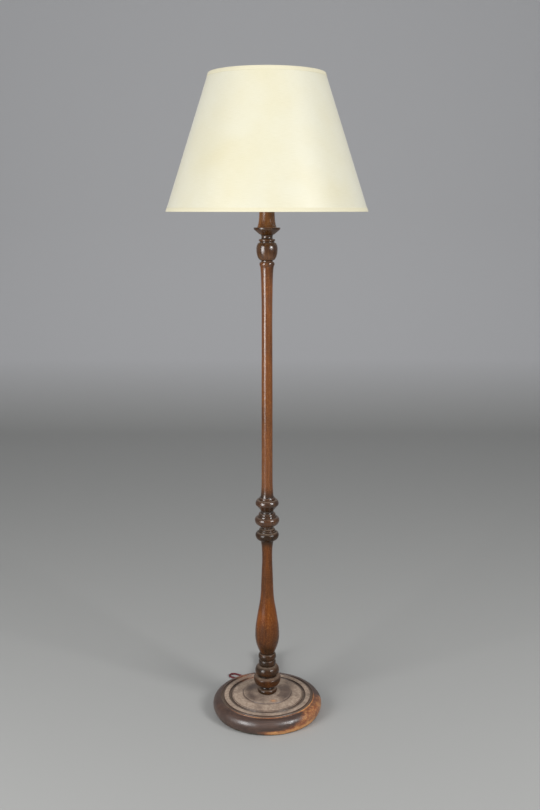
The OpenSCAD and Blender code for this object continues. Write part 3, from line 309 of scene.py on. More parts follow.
def moulded_plug(name, low, high):
    """The plug along Y: a share s from 0 at the cord to 1 at the blades. Half-width and half-height
    follow smooth steps from the relief to the body, the relief has seven ribs, the body's sides
    dip for a finger, and the section goes from round to a squared superellipse."""
    s = np.concatenate([[0], np.linspace(0, 1, 150), [1]])
    shrink = np.where((np.arange(152) == 0) | (np.arange(152) == 151), 0, 1)
    relief = 22 / ((high[1] - low[1]) / MM)
    step = np.clip((s - relief * 0.95) / 0.22, 0, 1)
    step = step * step * (3 - 2 * step)
    slim = cord_r + 1 + 2.2 * np.clip(s / relief, 0, 1)
    rib = 0.35 * np.cos(2 * np.pi * 7 * s / relief) * (s < relief)
    face = 1 - 0.10 * np.clip((s - 0.96) / 0.04, 0, 1) ** 2
    hollow = 1 - 0.13 * np.exp(-((s - 0.72) / 0.09) ** 2)
    half_w = (slim + rib + ((high[0] - low[0]) / MM / 2 - slim) * step) * face * hollow
    half_h = (slim + rib + ((high[2] - low[2]) / MM / 2 - slim) * step) * face
    power = 2 + 2 * step
    angle = 2 * np.pi * np.arange(64) / 64
    c, n = np.cos(angle)[None], np.sin(angle)[None]
    x = (half_w * shrink)[:, None] * np.sign(c) * np.abs(c) ** (2 / power[:, None])
    z = (half_h * shrink)[:, None] * np.sign(n) * np.abs(n) ** (2 / power[:, None])
    centre = (low + high) / 2
    y = np.broadcast_to((low[1] + s * (high[1] - low[1]))[:, None], x.shape)
    return surface(name, np.stack([centre[0] + x * MM, y, centre[2] + z * MM], 2), close_v=True)


plug = moulded_plug("mains_plug", plug_low, plug_high)
rubber, tree, shader = new_material("moulded_black_rubber")
place = add(tree, "TexCoord").outputs["Object"]
grain = add(tree, "TexNoise", {"Vector": place, "Scale": 1600.0, "Detail": 4.0})
scuff = add(tree, "TexNoise", {"Vector": place, "Scale": 60.0, "Detail": 5.0})
colour = add(tree, "ValToRGB", {"Fac": scuff}, stops=[(0.35, "#171616"), (0.75, "#2c2a29")])
tree.links.new(colour.outputs["Color"], shader.inputs["Base Color"])
rough = add(tree, "MapRange", {"Value": scuff, "To Min": 0.42, "To Max": 0.7})
tree.links.new(rough.outputs[0], shader.inputs["Roughness"])
bump = add(tree, "Bump", {"Height": grain, "Strength": 0.25, "Distance": 0.0002})
tree.links.new(bump.outputs[0], shader.inputs["Normal"])
wear(plug, rubber)
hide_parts("plug_body")
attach(plug, "stand")

# ---- Floor, backdrop and lamps --------------------------------------------------------------------
# A pale paper sweep, a tall soft box at the left front, a smaller one at the right front, and an
# even room around them: grey walls, which the camera, the varnish and the brass see, and a soft fill.
sweep_half, sweep_bend = 6.0, 1.2
profile_t = np.linspace(0, np.pi / 2, 24)
sweep_y = np.concatenate([[-5.0], 3.0 + sweep_bend * np.sin(profile_t), [3.0 + sweep_bend]])
sweep_z = np.concatenate([[0.0], sweep_bend * (1 - np.cos(profile_t)), [6.0]])
sweep_x = np.array([-sweep_half, sweep_half])
sweep = surface("paper_sweep", np.stack([
    np.broadcast_to(sweep_x[None], (len(sweep_y), 2)), np.broadcast_to(sweep_y[:, None], (len(sweep_y), 2)),
    np.broadcast_to(sweep_z[:, None], (len(sweep_y), 2))], 2))
paper, tree, shader = new_material("pale_paper")
high = add(tree, "SeparateXYZ", {"Vector": add(tree, "TexCoord").outputs["Object"]})
colour = add(tree, "ValToRGB", {"Fac": high.outputs["Z"]}, stops=[(0.0, "#a8a8a6"), (0.3, "#c9c9cb")])
tree.links.new(colour.outputs["Color"], shader.inputs["Base Color"])
shader.inputs["Roughness"].default_value = 0.9
wear(sweep, paper)


def soft_box(name, place, aim, size, power):
    """A rectangular lamp at place that faces the point aim."""
    data = bpy.data.lights.new(name, "AREA")
    data.shape = "RECTANGLE"
    data.size, data.size_y = size
    data.energy = power
    lamp = bpy.data.objects.new(name, data)
    lamp.location = place
    toward = np.array(place, float) - np.array(aim, float)
    yaw = math.atan2(toward[0], -toward[1])
    pitch = math.atan2(math.hypot(toward[0], toward[1]), toward[2])
    lamp.rotation_euler = (pitch, 0.0, yaw)
    scene.collection.objects.link(lamp)
    return lamp


soft_box("left_box", (-1.95, -1.8, 1.25), (0, 0, 0.95), (1.3, 1.9), 65)
soft_box("right_box", (2.0, -1.65, 1.9), (0, 0, 0.95), (0.9, 1.1), 54)
soft_box("top_box", (0.0, -0.4, 3.2), (0, 0, 0.6), (1.6, 1.6), 6)

world = bpy.data.worlds.new("pale_room")
world.use_nodes = True
tree = world.node_tree
tree.nodes.clear()
path = add(tree, "LightPath")
seen = add(tree, "Math", {0: path.outputs["Is Camera Ray"], 1: path.outputs["Is Glossy Ray"]}, operation="MAXIMUM")
seen = add(tree, "Math", {0: seen, 1: path.outputs["Is Transmission Ray"]}, operation="MAXIMUM")
fill = add(tree, "Background", {"Color": linear("#eceef0"), "Strength": 0.4})
walls = add(tree, "Background", {"Color": linear("#8b8d91"), "Strength": 1.0})
room = add(tree, "MixShader", {0: seen, 1: fill, 2: walls})
add(tree, "OutputWorld", {"Surface": room})
scene.world = world

# ---- Turned base ----------------------------------------------------------------------------------
# A disc of stained hardwood, face-turned: a heavy rounded edge, a fillet, two grooves with a raised
# ring between them, a level field and a raised middle that seats the column. Its varnish is worn
# to the wood at the right front and chipped along the foot, where the bare wood also carries painted
# golden glints, and its level faces hold years of dust.
felt_t = 2
base_r = 135
base_top = 49
seat_r = 128.5
bushing_z = 9
spot_face_r = 5.8


def stretch(kind, z, height, d0, d1, middle=0.0):
    """One turned stretch from z upwards, as rows of radius and height. A bead bulges as a half sine
    to its middle diameter, a swell is half a cosine wave, a rise is a quarter of a sine wave, and
    the two quarter curves are quarter ellipses that start level or start upright. A plain stretch
    is a cone."""
    t = np.linspace(0, 1, 13 + int(height / 2.5))
    r0, grow = d0 / 2, (d1 - d0) / 2
    if kind == "bead":
        r = r0 + grow * t + (middle / 2 - (d0 + d1) / 4) * np.sin(np.pi * t)
        return np.stack([r, z + height * (1 - np.cos(np.pi * t)) / 2], 1)
    if kind == "swell":
        return np.stack([r0 + grow * (1 - np.cos(np.pi * t)) / 2, z + height * t], 1)
    quarter = np.pi / 2 * t
    if kind == "rise":
        return np.stack([r0 + grow * np.sin(quarter), z + height * t], 1)
    if kind == "level first":
        return np.stack([r0 + grow * np.sin(quarter), z + height * (1 - np.cos(quarter))], 1)
    if kind == "upright first":
        return np.stack([r0 + grow * (1 - np.cos(quarter)), z + height * np.sin(quarter)], 1)
    t = np.linspace(0, 1, 2 + int(height / 3))
    return np.stack([r0 + grow * t, z + height * t], 1)


def stacked(stack, z):
    """The outline of stretches of (kind, height, diameter at the foot, at the top, at the middle),
    set on each other from height z."""
    feet = z + np.concatenate([[0], np.cumsum([row[1] for row in stack])])
    return np.vstack([stretch(row[0], foot, *row[1:]) for row, foot in zip(stack, feet)])


def arch(x0, x1, z, rise):
    """Half an ellipse from radius x0 to x1 at height z, up by rise, or down where rise is negative."""
    a = np.pi * np.linspace(0, 1, 17)
    return np.stack([(x0 + x1) / 2 + (x0 - x1) / 2 * np.cos(a), z + rise * np.sin(a)], 1)


def dense(outline, pitch):
    """The same closed outline with points put into each side that is longer than pitch."""
    ends = np.roll(outline, -1, axis=0)
    count = np.maximum(1, np.ceil(np.linalg.norm(ends - outline, axis=1) / pitch)).astype(int)
    start = np.repeat(np.arange(len(outline)), count)
    share = (np.arange(count.sum()) - np.repeat(np.cumsum(count) - count, count)) / np.repeat(count, count)
    return outline[start] + (ends - outline)[start] * share[:, None]


def eased(outline, radius):
    """The same closed outline with each corner sharper than 25 degrees rounded: a quadratic curve from
    one side to the other leaves and arrives at radius from the corner."""
    side = np.roll(outline, -1, axis=0) - outline
    outline = outline[np.linalg.norm(side, axis=1) > 1e-6]
    forth = np.roll(outline, -1, axis=0) - outline
    back = np.roll(outline, 1, axis=0) - outline
    far_forth, far_back = (np.linalg.norm(w, axis=1, keepdims=True) for w in (forth, back))
    forth, back = forth / far_forth, back / far_back
    sharp = (forth * back).sum(1) > -math.cos(math.radians(25))
    leave = outline + back * np.minimum(radius, 0.45 * far_back)
    arrive = outline + forth * np.minimum(radius, 0.45 * far_forth)
    t = np.linspace(0, 1, 4)[None, :, None]
    curve = (1 - t) ** 2 * leave[:, None] + 2 * t * (1 - t) * outline[:, None] + t**2 * arrive[:, None]
    curve[~sharp, 0] = outline[~sharp]
    keep = sharp[:, None] | (np.arange(4) == 0)[None]
    return curve[keep]


def softened(outline, reach):
    """The average of a closed outline round each of its points, weighted by a bell curve of the
    distance along the outline, whose standard deviation is reach."""
    side = np.linalg.norm(np.roll(outline, -1, axis=0) - outline, axis=1)
    s = np.concatenate([[0], np.cumsum(side)[:-1]])
    gap = np.abs(s[:, None] - s[None])
    gap = np.minimum(gap, side.sum() - gap)
    weight = np.exp(-0.5 * (gap / reach) ** 2) * (side + np.roll(side, 1))[None] / 2
    return weight @ outline / weight.sum(1, keepdims=True)


def value_noise(points, size, seed):
    """Smooth noise over points in mm, with a variance of a half: the sum of sine waves in random
    directions and phases, with lengths near size."""
    rng = np.random.default_rng(seed)
    waves = rng.normal(size=(24, 3))
    waves *= (2 * np.pi / (size * rng.uniform(0.6, 1.8, 24)) / np.linalg.norm(waves, axis=1))[:, None]
    phase = rng.uniform(0, 2 * np.pi, 24)
    return np.sin(points @ waves.T + phase).sum(-1) / 24**0.5


def store(piece, name, values):
    """Keeps one number for each vertex of the piece under a name that a material can read."""
    layer = piece.data.attributes.new(name, "FLOAT", "POINT")
    layer.data.foreach_set("value", np.asarray(values, np.float32).ravel())


def turned(name, outline, angle, seed, shape=None, tone=None, bare=None, swept=None):
    """Revolves a closed outline of radius and height in mm through the angles. Hand sanding and age
    leave it uneven by a tenth of a mm, and shape adds its own height along the normal. Each point
    keeps how proud of its surroundings it stands, how level and upward it lies unless it is swept,
    how light its stain is, and how bare of varnish it is, for the material."""
    outline = eased(outline, 0.6)
    way = np.roll(outline, -1, axis=0) - np.roll(outline, 1, axis=0)
    way /= np.linalg.norm(way, axis=1, keepdims=True)
    out = np.stack([way[:, 1], -way[:, 0]], 1)
    proud = ((outline - softened(outline, 2.5)) * out).sum(1)
    c, n = np.cos(angle), np.sin(angle)
    r, z, up = outline[:, :1], outline[:, 1:], out[:, 1:]
    grid = np.stack([r * c, r * n, z + 0 * c], 2)
    normal = np.stack([out[:, :1] * c, out[:, :1] * n, up + 0 * c], 2)
    height = 0.1 * value_noise(grid, 40.0, seed)
    if shape is not None:
        height = height + shape(grid)
    piece = surface(name, (grid + normal * height[..., None]) * MM, close_u=True, close_v=True, crease=60)
    store(piece, "proud", proud[:, None] + 0 * c)
    store(piece, "level", np.clip(up, 0, 1) ** 5 * (1 - (0 * c if swept is None else swept(grid))))
    if tone is None:
        light = 0 * height
    else:
        light = np.interp(grid[..., 2], *np.array(tone, float).T)
    store(piece, "light", light + 0.15 * value_noise(grid, 45.0, seed + 50))
    store(piece, "bare", 0 * height if bare is None else bare(grid))
    return piece


base_outline = np.vstack([
    [[105, felt_t], [129, felt_t]],
    [[base_r - 6 * (1 - t) ** 2, felt_t + 18 * t] for t in np.linspace(0.03, 1, 34)],
    [[base_r - 18 * (1 - math.cos(a)), 20 + 18.5 * math.sin(a)] for a in np.linspace(0.05, math.pi / 2, 28)],
    [[117, 39.7], [115, 39.7]],
    arch(115, 107.5, 38.9, -2.75), arch(107.5, 95.5, 40.5, 0.9), arch(95.5, 88, 39.5, -2.75),
    [[88, 40.5], [86, 40.5], [86, 42], [61, 44.8], [60, 44.8], [59, 46.4], [25.5, 49], [11.1, 49],
     [11.1, 28.9], [5.5, 28.9], [5.5, 20], [104, 20]],
])


def chips(grid):
    """Bites out of the foot of the rounded edge, where a noise passes a limit, up to 1.4 mm deep and
    fading upwards, shallow dents above them, and the spot face that the cord's bushing seats in."""
    r = np.hypot(grid[..., 0], grid[..., 1])
    foot = np.exp(-((grid[..., 2] - 4) / 5) ** 2) * np.clip((r - 122) / 5, 0, 1)
    bite = np.clip(0.7 * value_noise(grid, 9.0, 5) + 0.5 * value_noise(grid, 4.0, 6) - 0.45, 0, 1)
    dent = np.clip(value_noise(grid, 12.0, 7) - 1.5, 0, 0.5) * np.clip((r - 112) / 6, 0, 1)
    across = grid[..., 1] * exit_way[0] - grid[..., 0] * exit_way[1]
    along = grid[..., 0] * exit_way[0] + grid[..., 1] * exit_way[1]
    near = np.hypot(across, grid[..., 2] - bushing_z) < spot_face_r
    pit = near & (along > seat_r) & (grid[..., 2] > felt_t)
    return np.where(pit, seat_r - along, -1.4 * foot * bite - 0.8 * dent)


def worn_base(grid):
    """How bare the base is: the foot from the front's middle and the whole rounded edge at the right,
    where it was knocked and handled, the fillet's edge above that, a band along the foot at the front
    right made barest as a painted golden glint, and a scuff in front of the column."""
    x, y, z = (grid[..., i] for i in range(3))
    r = np.hypot(x, y)
    turn = np.degrees(np.arctan2(y, x))
    highest = np.interp(turn, [-98, -88, -67, -54, -42, 0, 14], [-8, 6, 20, 30, 44, 40, -8])
    patch = 0.8 * np.clip((highest - z) / 16 + 0.5, 0, 1) * (r > 112)
    fillet = 0.95 * np.exp(-((turn + 75) / 75) ** 4) * np.exp(-((r - 116) / 1.5) ** 2)
    # a band along the foot at the front right, made barest: bare wood that also paints golden glints
    foot = 0.9 * np.exp(-((turn + 68) / 34) ** 4) * np.exp(-((z - 9) / 5) ** 2) * (r > 122)
    scuff = 0.95 * np.exp(-(((x - 15) / 12) ** 2 + ((y + 47) / 8) ** 2)) * (z > 40)
    rear = 0.6 * np.exp(-((turn - 125) / 22) ** 2) * np.clip((r - 86) / 3, 0, 1) * (z > 36)
    return patch + fillet + foot + scuff + rear


def swept_base(grid):
    """How far the base is swept of dust: all of it outside the fillet, the right of the raised middle
    where a hand wiped it, and a darker smear at its left."""
    x, y, z = (grid[..., i] for i in range(3))
    r = np.hypot(x, y)
    turn = np.degrees(np.arctan2(y, x))
    middle = np.clip((60 - r) / 4, 0, 1)
    right = 0.7 * middle * np.clip((r - 30) / 4, 0, 1) * np.exp(-((turn + 5) / 45) ** 4)
    left = 0.85 * middle * np.exp(-((r - 45) / 13) ** 2) * np.exp(-((np.abs(turn) - 152) / 42) ** 2)
    return np.clip(np.clip((r - 114.5) / 1.5, 0, 1) + right + left, 0, 1)


even = np.linspace(0, 2 * np.pi, 300, endpoint=False)
near_cord = cord_angle + np.radians(np.linspace(-4, 4, 41))
base_angles = np.sort(np.concatenate([even[np.abs(even - cord_angle) > np.radians(4.2)], near_cord]))
base = turned("turned_base", dense(base_outline, 2.2), base_angles, 11,
              shape=chips, bare=worn_base, swept=swept_base)


def timber(name, stretch_by, dark, light, bare, hollow_colour, roughness, dust, specular):
    """Turned hardwood under stain and shellac. Fibres and pores are noise drawn out along the grain by
    the factors in stretch_by. The stain runs from three dark colours to three light ones as the
    stored light says. Hollows are darker, toward the hollow colour. Level faces carry dust, which on
    the turnings also stands for the pale light on their tops, a painted highlight. Where the finish
    is bare the wood shows in its own colours, lifted where it is most rubbed: raw wood, and a painted
    golden glint. The grain is drawn twice as coarse as the real one, so that it shows."""
    material, tree, shader = new_material(name)
    place = add(tree, "TexCoord").outputs["Object"]
    drawn = add(tree, "Mapping", {"Vector": place, "Scale": stretch_by})
    shader.inputs["Specular IOR Level"].default_value = specular
    fibre = add(tree, "TexNoise", {"Vector": drawn, "Scale": 420.0, "Detail": 6.0, "Roughness": 0.6})
    figure = add(tree, "TexNoise", {"Vector": drawn, "Scale": 70.0, "Detail": 3.0, "Distortion": 1.0})
    blotch = add(tree, "TexNoise", {"Vector": place, "Scale": 26.0, "Detail": 5.0, "Roughness": 0.6})
    fine = add(tree, "TexNoise", {"Vector": place, "Scale": 170.0, "Detail": 6.0, "Roughness": 0.7})
    peel = add(tree, "TexNoise", {"Vector": place, "Scale": 560.0, "Detail": 2.0})
    mixed = add(tree, "MixRGB", {"Fac": 0.45, "Color1": fibre, "Color2": figure})
    places = (0.3, 0.5, 0.7)
    sun = add(tree, "Attribute", attribute_name="light").outputs["Fac"]
    stain = add(tree, "MixRGB", {
        "Fac": sun,
        "Color1": add(tree, "ValToRGB", {"Fac": mixed}, stops=list(zip(places, dark))),
        "Color2": add(tree, "ValToRGB", {"Fac": mixed}, stops=list(zip(places, light))),
    })
    # flecks where the shellac has lifted
    speck = add(tree, "MapRange", {"Value": peel, "From Min": 0.58, "From Max": 0.7, "To Max": 0.6})
    fleck = add(tree, "Math", {0: speck, 1: sun}, operation="MULTIPLY")
    stain = add(tree, "MixRGB", {"Fac": fleck, "Color1": stain, "Color2": linear(bare[2])})
    # the hollows are darker, toward the hollow colour, by how far each point lies below its surroundings
    proud = add(tree, "Attribute", attribute_name="proud").outputs["Fac"]
    hollow = add(tree, "MapRange", {
        "Value": proud, "From Min": -0.55, "From Max": -0.02, "To Min": 0.75, "To Max": 0.0})
    hollow_darkened = add(tree, "MixRGB", {"Fac": hollow, "Color1": stain, "Color2": linear(hollow_colour)})
    # bare patches, a little wider on proud edges, broken up by both noises
    crest = add(tree, "MapRange", {"Value": proud, "From Min": 0.12, "From Max": 0.6, "To Max": 0.1})
    gone = add(tree, "Math", {0: add(tree, "Attribute", attribute_name="bare").outputs["Fac"], 1: crest})
    broken = add(tree, "Math", {0: fine, 1: blotch})
    rubbed = add(tree, "Math", {0: gone, 1: broken})
    showing = add(tree, "MapRange", {"Value": rubbed, "From Min": 1.3, "From Max": 2.1})
    # the most rubbed wood is lifted toward the lightest bare colour: raw wood, and a painted golden glint
    raw_wood_and_glint = add(tree, "MapRange", {"Value": rubbed, "From Min": 1.5, "From Max": 2.6, "To Max": 0.2})
    lit = add(tree, "Math", {0: mixed, 1: raw_wood_and_glint})
    wood = add(tree, "ValToRGB", {"Fac": lit}, stops=list(zip(places, bare)))
    worn = add(tree, "MixRGB", {"Fac": showing, "Color1": hollow_darkened, "Color2": wood})
    # dust lies on level faces, thinner where it was wiped and in the hollows; on the turnings it also paints the
    # pale light on their tops, a painted highlight
    level = add(tree, "Attribute", attribute_name="level").outputs["Fac"]
    wiped = add(tree, "MapRange", {"Value": blotch, "From Min": 0.3, "From Max": 0.55, "To Min": 0.35})
    lying = add(tree, "Math", {0: level, 1: wiped}, operation="MULTIPLY")
    kept = add(tree, "MapRange", {"Value": showing, "To Min": 1.0, "To Max": 0.25})
    lying = add(tree, "Math", {0: lying, 1: kept}, operation="MULTIPLY")
    clean = add(tree, "MapRange", {"Value": hollow, "From Max": 0.5, "To Min": dust, "To Max": 0.35 * dust})
    dust_and_light_film = add(tree, "Math", {0: lying, 1: clean}, operation="MULTIPLY")
    grey = add(tree, "ValToRGB", {"Fac": fine}, stops=[(0.3, "#86705f"), (0.7, "#bfaa96")])
    dusted_and_lit = add(tree, "MixRGB", {"Fac": dust_and_light_film, "Color1": worn, "Color2": grey})
    tree.links.new(dusted_and_lit.outputs[0], shader.inputs["Base Color"])
    gloss = add(tree, "MapRange", {
        "Value": blotch, "From Min": 0.3, "From Max": 0.7, "To Min": roughness[0], "To Max": roughness[1]})
    dull = add(tree, "Math", {0: gloss, 1: dust_and_light_film}, operation="ADD", use_clamp=True)
    tree.links.new(dull.outputs[0], shader.inputs["Roughness"])
    relief = add(tree, "MixRGB", {"Fac": 0.65, "Color1": fibre, "Color2": peel})
    bump = add(tree, "Bump", {"Height": relief, "Strength": 0.55, "Distance": 0.0005})
    tree.links.new(bump.outputs[0], shader.inputs["Normal"])
    return material


base_wood = timber(
    "stained_hardwood_base", (0.06, 1.0, 1.0), ("#2e1e17", "#432e24", "#5b4235"),
    ("#3a2418", "#4c3122", "#604130"), ("#64300f", "#9c5426", "#d69a5c"), "#574536", (0.3, 0.46), 0.95, 0.9)
wear(base, base_wood)
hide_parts("base_disc")
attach(base, "stand")

# ---- Under the base -------------------------------------------------------------------------------
# Green wool baize glued to the foot, and above it, in the recess, a cast-iron ballast ring held by
# three screws, with the nut and washer that clamp the lamp pipe.
felt_low, felt_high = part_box("base_felt")
felt_r = (felt_high[0] - felt_low[0]) / 2 / MM
felt_t_real = (felt_high[2] - felt_low[2]) / MM
rings = np.linspace(0, felt_r, 60)
felt_rows = np.vstack([
    np.stack([rings, 0 * rings], 1), np.stack([rings[::-1], felt_t_real + 0 * rings], 1)])
around = np.linspace(0, 2 * np.pi, 180, endpoint=False)
fr, fz = felt_rows[:, :1], felt_rows[:, 1:]
felt_grid = np.stack([fr * np.cos(around), fr * np.sin(around), fz + 0 * around], 2)
# the pinked-off edge wavers by a third of a millimetre
felt_grid[..., :2] *= 1 - 0.003 * np.abs(np.sin(23 * around))[None, :, None] * (fr[..., None] / felt_r) ** 8
felt = surface("baize_pad", felt_grid * MM, close_v=True)
wool, tree, shader = new_material("wool_baize")
place = add(tree, "TexCoord").outputs["Object"]
nap = add(tree, "TexNoise", {"Vector": place, "Scale": 1500.0, "Detail": 4.0})
patchy = add(tree, "TexNoise", {"Vector": place, "Scale": 30.0, "Detail": 4.0})
tone = add(tree, "MixRGB", {"Fac": 0.5, "Color1": nap, "Color2": patchy})
colour = add(tree, "ValToRGB", {"Fac": tone}, stops=[(0.3, "#22372a"), (0.7, "#3f5c46")])
tree.links.new(colour.outputs["Color"], shader.inputs["Base Color"])
shader.inputs["Roughness"].default_value = 1.0
shader.inputs["Sheen Weight"].default_value = 0.4
bump = add(tree, "Bump", {"Height": nap, "Strength": 0.6, "Distance": 0.0004})
tree.links.new(bump.outputs[0], shader.inputs["Normal"])
wear(felt, wool)
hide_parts("base_felt")
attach(felt, "stand")

cast_iron, tree, shader = new_material("rough_cast_iron")
# Sand-cast and left grey: coarse grain with freckles of rust, dull all over.
place = add(tree, "TexCoord").outputs["Object"]
sand = add(tree, "TexNoise", {"Vector": place, "Scale": 420.0, "Detail": 5.0})
rust = add(tree, "TexNoise", {"Vector": place, "Scale": 45.0, "Detail": 6.0})
grey = add(tree, "ValToRGB", {"Fac": sand}, stops=[(0.3, "#2d2d2f"), (0.7, "#4c4c4e")])
freckle = add(tree, "MapRange", {"Value": rust, "From Min": 0.55, "From Max": 0.7, "To Max": 0.8})
colour = add(tree, "MixRGB", {"Fac": freckle, "Color1": grey, "Color2": linear("#6b3d24")})
tree.links.new(colour.outputs[0], shader.inputs["Base Color"])
shader.inputs["Metallic"].default_value = 0.6
shader.inputs["Roughness"].default_value = 0.7
bump = add(tree, "Bump", {"Height": sand, "Strength": 0.7, "Distance": 0.0006})
tree.links.new(bump.outputs[0], shader.inputs["Normal"])
wear(nodes["ballast_weight"], cast_iron)


def metal(name, dark, bright, roughness, brushed=(1.0, 1.0, 1.0), tarnish="#000000", tarnish_share=0.0):
    """Bare or plated metal: a colour between dark and bright by fine noise, drawn out where brushed,
    spots of tarnish where a coarser noise is high, and a roughness that rises with the tarnish."""
    material, tree, shader = new_material(name)
    place = add(tree, "TexCoord").outputs["Object"]
    drawn = add(tree, "Mapping", {"Vector": place, "Scale": brushed})
    fine = add(tree, "TexNoise", {"Vector": drawn, "Scale": 900.0, "Detail": 4.0})
    cloud = add(tree, "TexNoise", {"Vector": place, "Scale": 90.0, "Detail": 5.0, "Roughness": 0.65})
    colour = add(tree, "ValToRGB", {"Fac": fine}, stops=[(0.3, dark), (0.7, bright)])
    spots = add(tree, "MapRange", {
        "Value": cloud, "From Min": 0.5, "From Max": 0.68, "To Max": tarnish_share})
    aged = add(tree, "MixRGB", {"Fac": spots, "Color1": colour, "Color2": linear(tarnish)})
    tree.links.new(aged.outputs[0], shader.inputs["Base Color"])
    rough = add(tree, "MapRange", {
        "Value": cloud, "From Min": 0.35, "From Max": 0.7, "To Min": roughness[0], "To Max": roughness[1]})
    tree.links.new(rough.outputs[0], shader.inputs["Roughness"])
    shader.inputs["Metallic"].default_value = 1.0
    bump = add(tree, "Bump", {"Height": fine, "Strength": 0.12, "Distance": 0.0001})
    tree.links.new(bump.outputs[0], shader.inputs["Normal"])
    return material


def smooth(*names):
    """CAD pieces come as loose triangles: their equal corners are welded, their edges under 40 degrees
    are shaded smooth and the sharper ones split."""
    for name in names:
        node = nodes[name]
        weld = node.modifiers.new("weld", "WELD")
        weld.merge_threshold = 1e-6
        split = node.modifiers.new("split", "EDGE_SPLIT")
        split.split_angle = math.radians(40)
        split.use_edge_sharp = False
        node.data.shade_smooth()


# Zinc-plated steel: bluish grey, a little cloudy, with dull white bloom.
zinc = metal("zinc_plated_steel", "#7f8387", "#b4b8bc", (0.3, 0.5), tarnish="#6a655c", tarnish_share=0.6)
for name in ("ballast_screws", "pipe_nut", "pipe_washer", "lamp_pipe", "saddle_nut"):
    wear(nodes[name], zinc)
    smooth(name)
wear(nodes["cord_bushing"], rubber)
smooth("ballast_weight", "cord_bushing", "cord_in_base")

copper_core, tree, shader = new_material("brown_pvc_insulation")
# Extruded PVC over each conductor: smooth and faintly glossy, dusty where it was handled.
place = add(tree, "TexCoord").outputs["Object"]
handled = add(tree, "TexNoise", {"Vector": place, "Scale": 120.0, "Detail": 4.0})
colour = add(tree, "ValToRGB", {"Fac": handled}, stops=[(0.3, "#5f3820"), (0.7, "#8d5632")])
tree.links.new(colour.outputs["Color"], shader.inputs["Base Color"])
shader.inputs["Roughness"].default_value = 0.4
wear(nodes["pipe_wires"], copper_core)
smooth("pipe_wires")

# ---- Column ---------------------------------------------------------------------------------------
# Two lengths of turned hardwood, joined by a spigot between the two lowest rings. The lower has the
# foot, the stacked bowls and beads and the long vase; the upper has three more rings and the
# tapering shaft. Stain and glossy varnish, darker on the turned details than on the shafts.
lower_stack = [
    ("bead", 10, 43, 43, 49), ("level first", 5, 43, 31), ("upright first", 6, 31, 49.95),
    ("level first", 16, 49.95, 66.6), ("plain", 2, 66.6, 66.6), ("upright first", 5, 66.6, 47),
    ("plain", 5, 45, 45), ("level first", 8.5, 45, 59.5), ("upright first", 14, 59.5, 37),
    ("bead", 15.5, 36.5, 36.5, 42.4), ("plain", 0.5, 36.5, 36.5), ("bead", 15.5, 36.5, 36.5, 44),
    ("plain", 2, 35.5, 35.5), ("rise", 45, 35.5, 59.5), ("swell", 129, 59.5, 30), ("plain", 64, 30, 24.8),
    ("plain", 13, 24.8, 24.8), ("upright first", 41.5, 24.8, 34), ("bead", 21.5, 30, 43, 56.4),
    ("upright first", 3, 42, 38.5), ("bead", 5.5, 36, 29.5, 38.5), ("plain", 2.2, 26.4, 26.4),
]
upper_stack = [
    ("plain", 2.1, 26.4, 26.4), ("upright first", 2.7, 26.4, 31), ("bead", 22, 31, 47, 58.6),
    ("upright first", 3.5, 45, 41), ("bead", 6.5, 38.5, 33, 41), ("level first", 2.5, 33, 31),
    ("plain", 3.6, 31, 31), ("plain", 12.9, 31, 52), ("bead", 14, 52, 44, 55.2), ("bead", 5.5, 37, 34, 38.5),
    ("level first", 46, 33.6, 26.6), ("plain", 220, 26.6, 25.8), ("swell", 165, 25.8, 25),
    ("upright first", 119, 25, 32.4), ("bead", 9, 30, 30, 34.8),
]
bore_r, spigot_r, spigot_l, foot_spigot_r, foot_spigot_l, glue_gap = 5.5, 9, 21, 11, 20, 0.1
column_joint = base_top + sum(row[1] for row in lower_stack)
capital_foot = column_joint + sum(row[1] for row in upper_stack)
round_column = np.linspace(0, 2 * np.pi, 112, endpoint=False)
socket_r, socket_l = spigot_r + glue_gap, spigot_l + glue_gap
socket_foot = [[bore_r, socket_l], [socket_r, socket_l], [socket_r, 0]]


def from_foot(points, z):
    """Points of radius and height above z, at their heights above the floor."""
    return np.array(points, float) + [0, z]


lower = turned("lower_turned_column", np.vstack([
    from_foot([[bore_r, -foot_spigot_l], [foot_spigot_r, -foot_spigot_l], [foot_spigot_r, 0]], base_top),
    stacked(lower_stack, base_top),
    from_foot([[spigot_r, 0], [spigot_r, spigot_l], [bore_r, spigot_l]], column_joint),
]), round_column, 21,
    tone=[(49, 0.1), (150, 0.1), (165, 0.2), (200, 0.45), (250, 0.8), (300, 0.75), (345, 0.5), (428, 0.4), (440, 0.0), (479, 0.0)])
upper = turned("upper_turned_column", np.vstack([
    from_foot(socket_foot, column_joint), stacked(upper_stack, column_joint),
    from_foot([[spigot_r, 0], [spigot_r, spigot_l], [bore_r, spigot_l]], capital_foot),
]), round_column, 22,
    tone=[(479, 0.1), (560, 0.15), (580, 0.9), (900, 1.0), (1060, 0.9), (1100, 0.55), (1113, 0.2)])
# On the turnings the dust on level faces also paints the pale light on the tops of the rings and bowls: a painted
# highlight.
foot_wood = timber(
    "stained_hardwood_foot", (1.0, 1.0, 0.05), ("#1d1208", "#2b1b0c", "#3b2612"),
    ("#552804", "#703806", "#86480e"), ("#7c4018", "#a0602c", "#bf8248"), "#140c05", (0.16, 0.28), 0.55, 0.4)
column_wood = timber(
    "stained_hardwood_column", (1.0, 1.0, 0.05), ("#22150a", "#332010", "#452d18"),
    ("#522809", "#6c3b13", "#834c22"), ("#7c4018", "#a0602c", "#bf8248"), "#170e07", (0.14, 0.24), 0.5, 0.8)
for piece, node, wood in ((lower, "lower_column", foot_wood), (upper, "upper_column", column_wood)):
    wear(piece, wood)
    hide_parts(node)
    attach(piece, "stand")

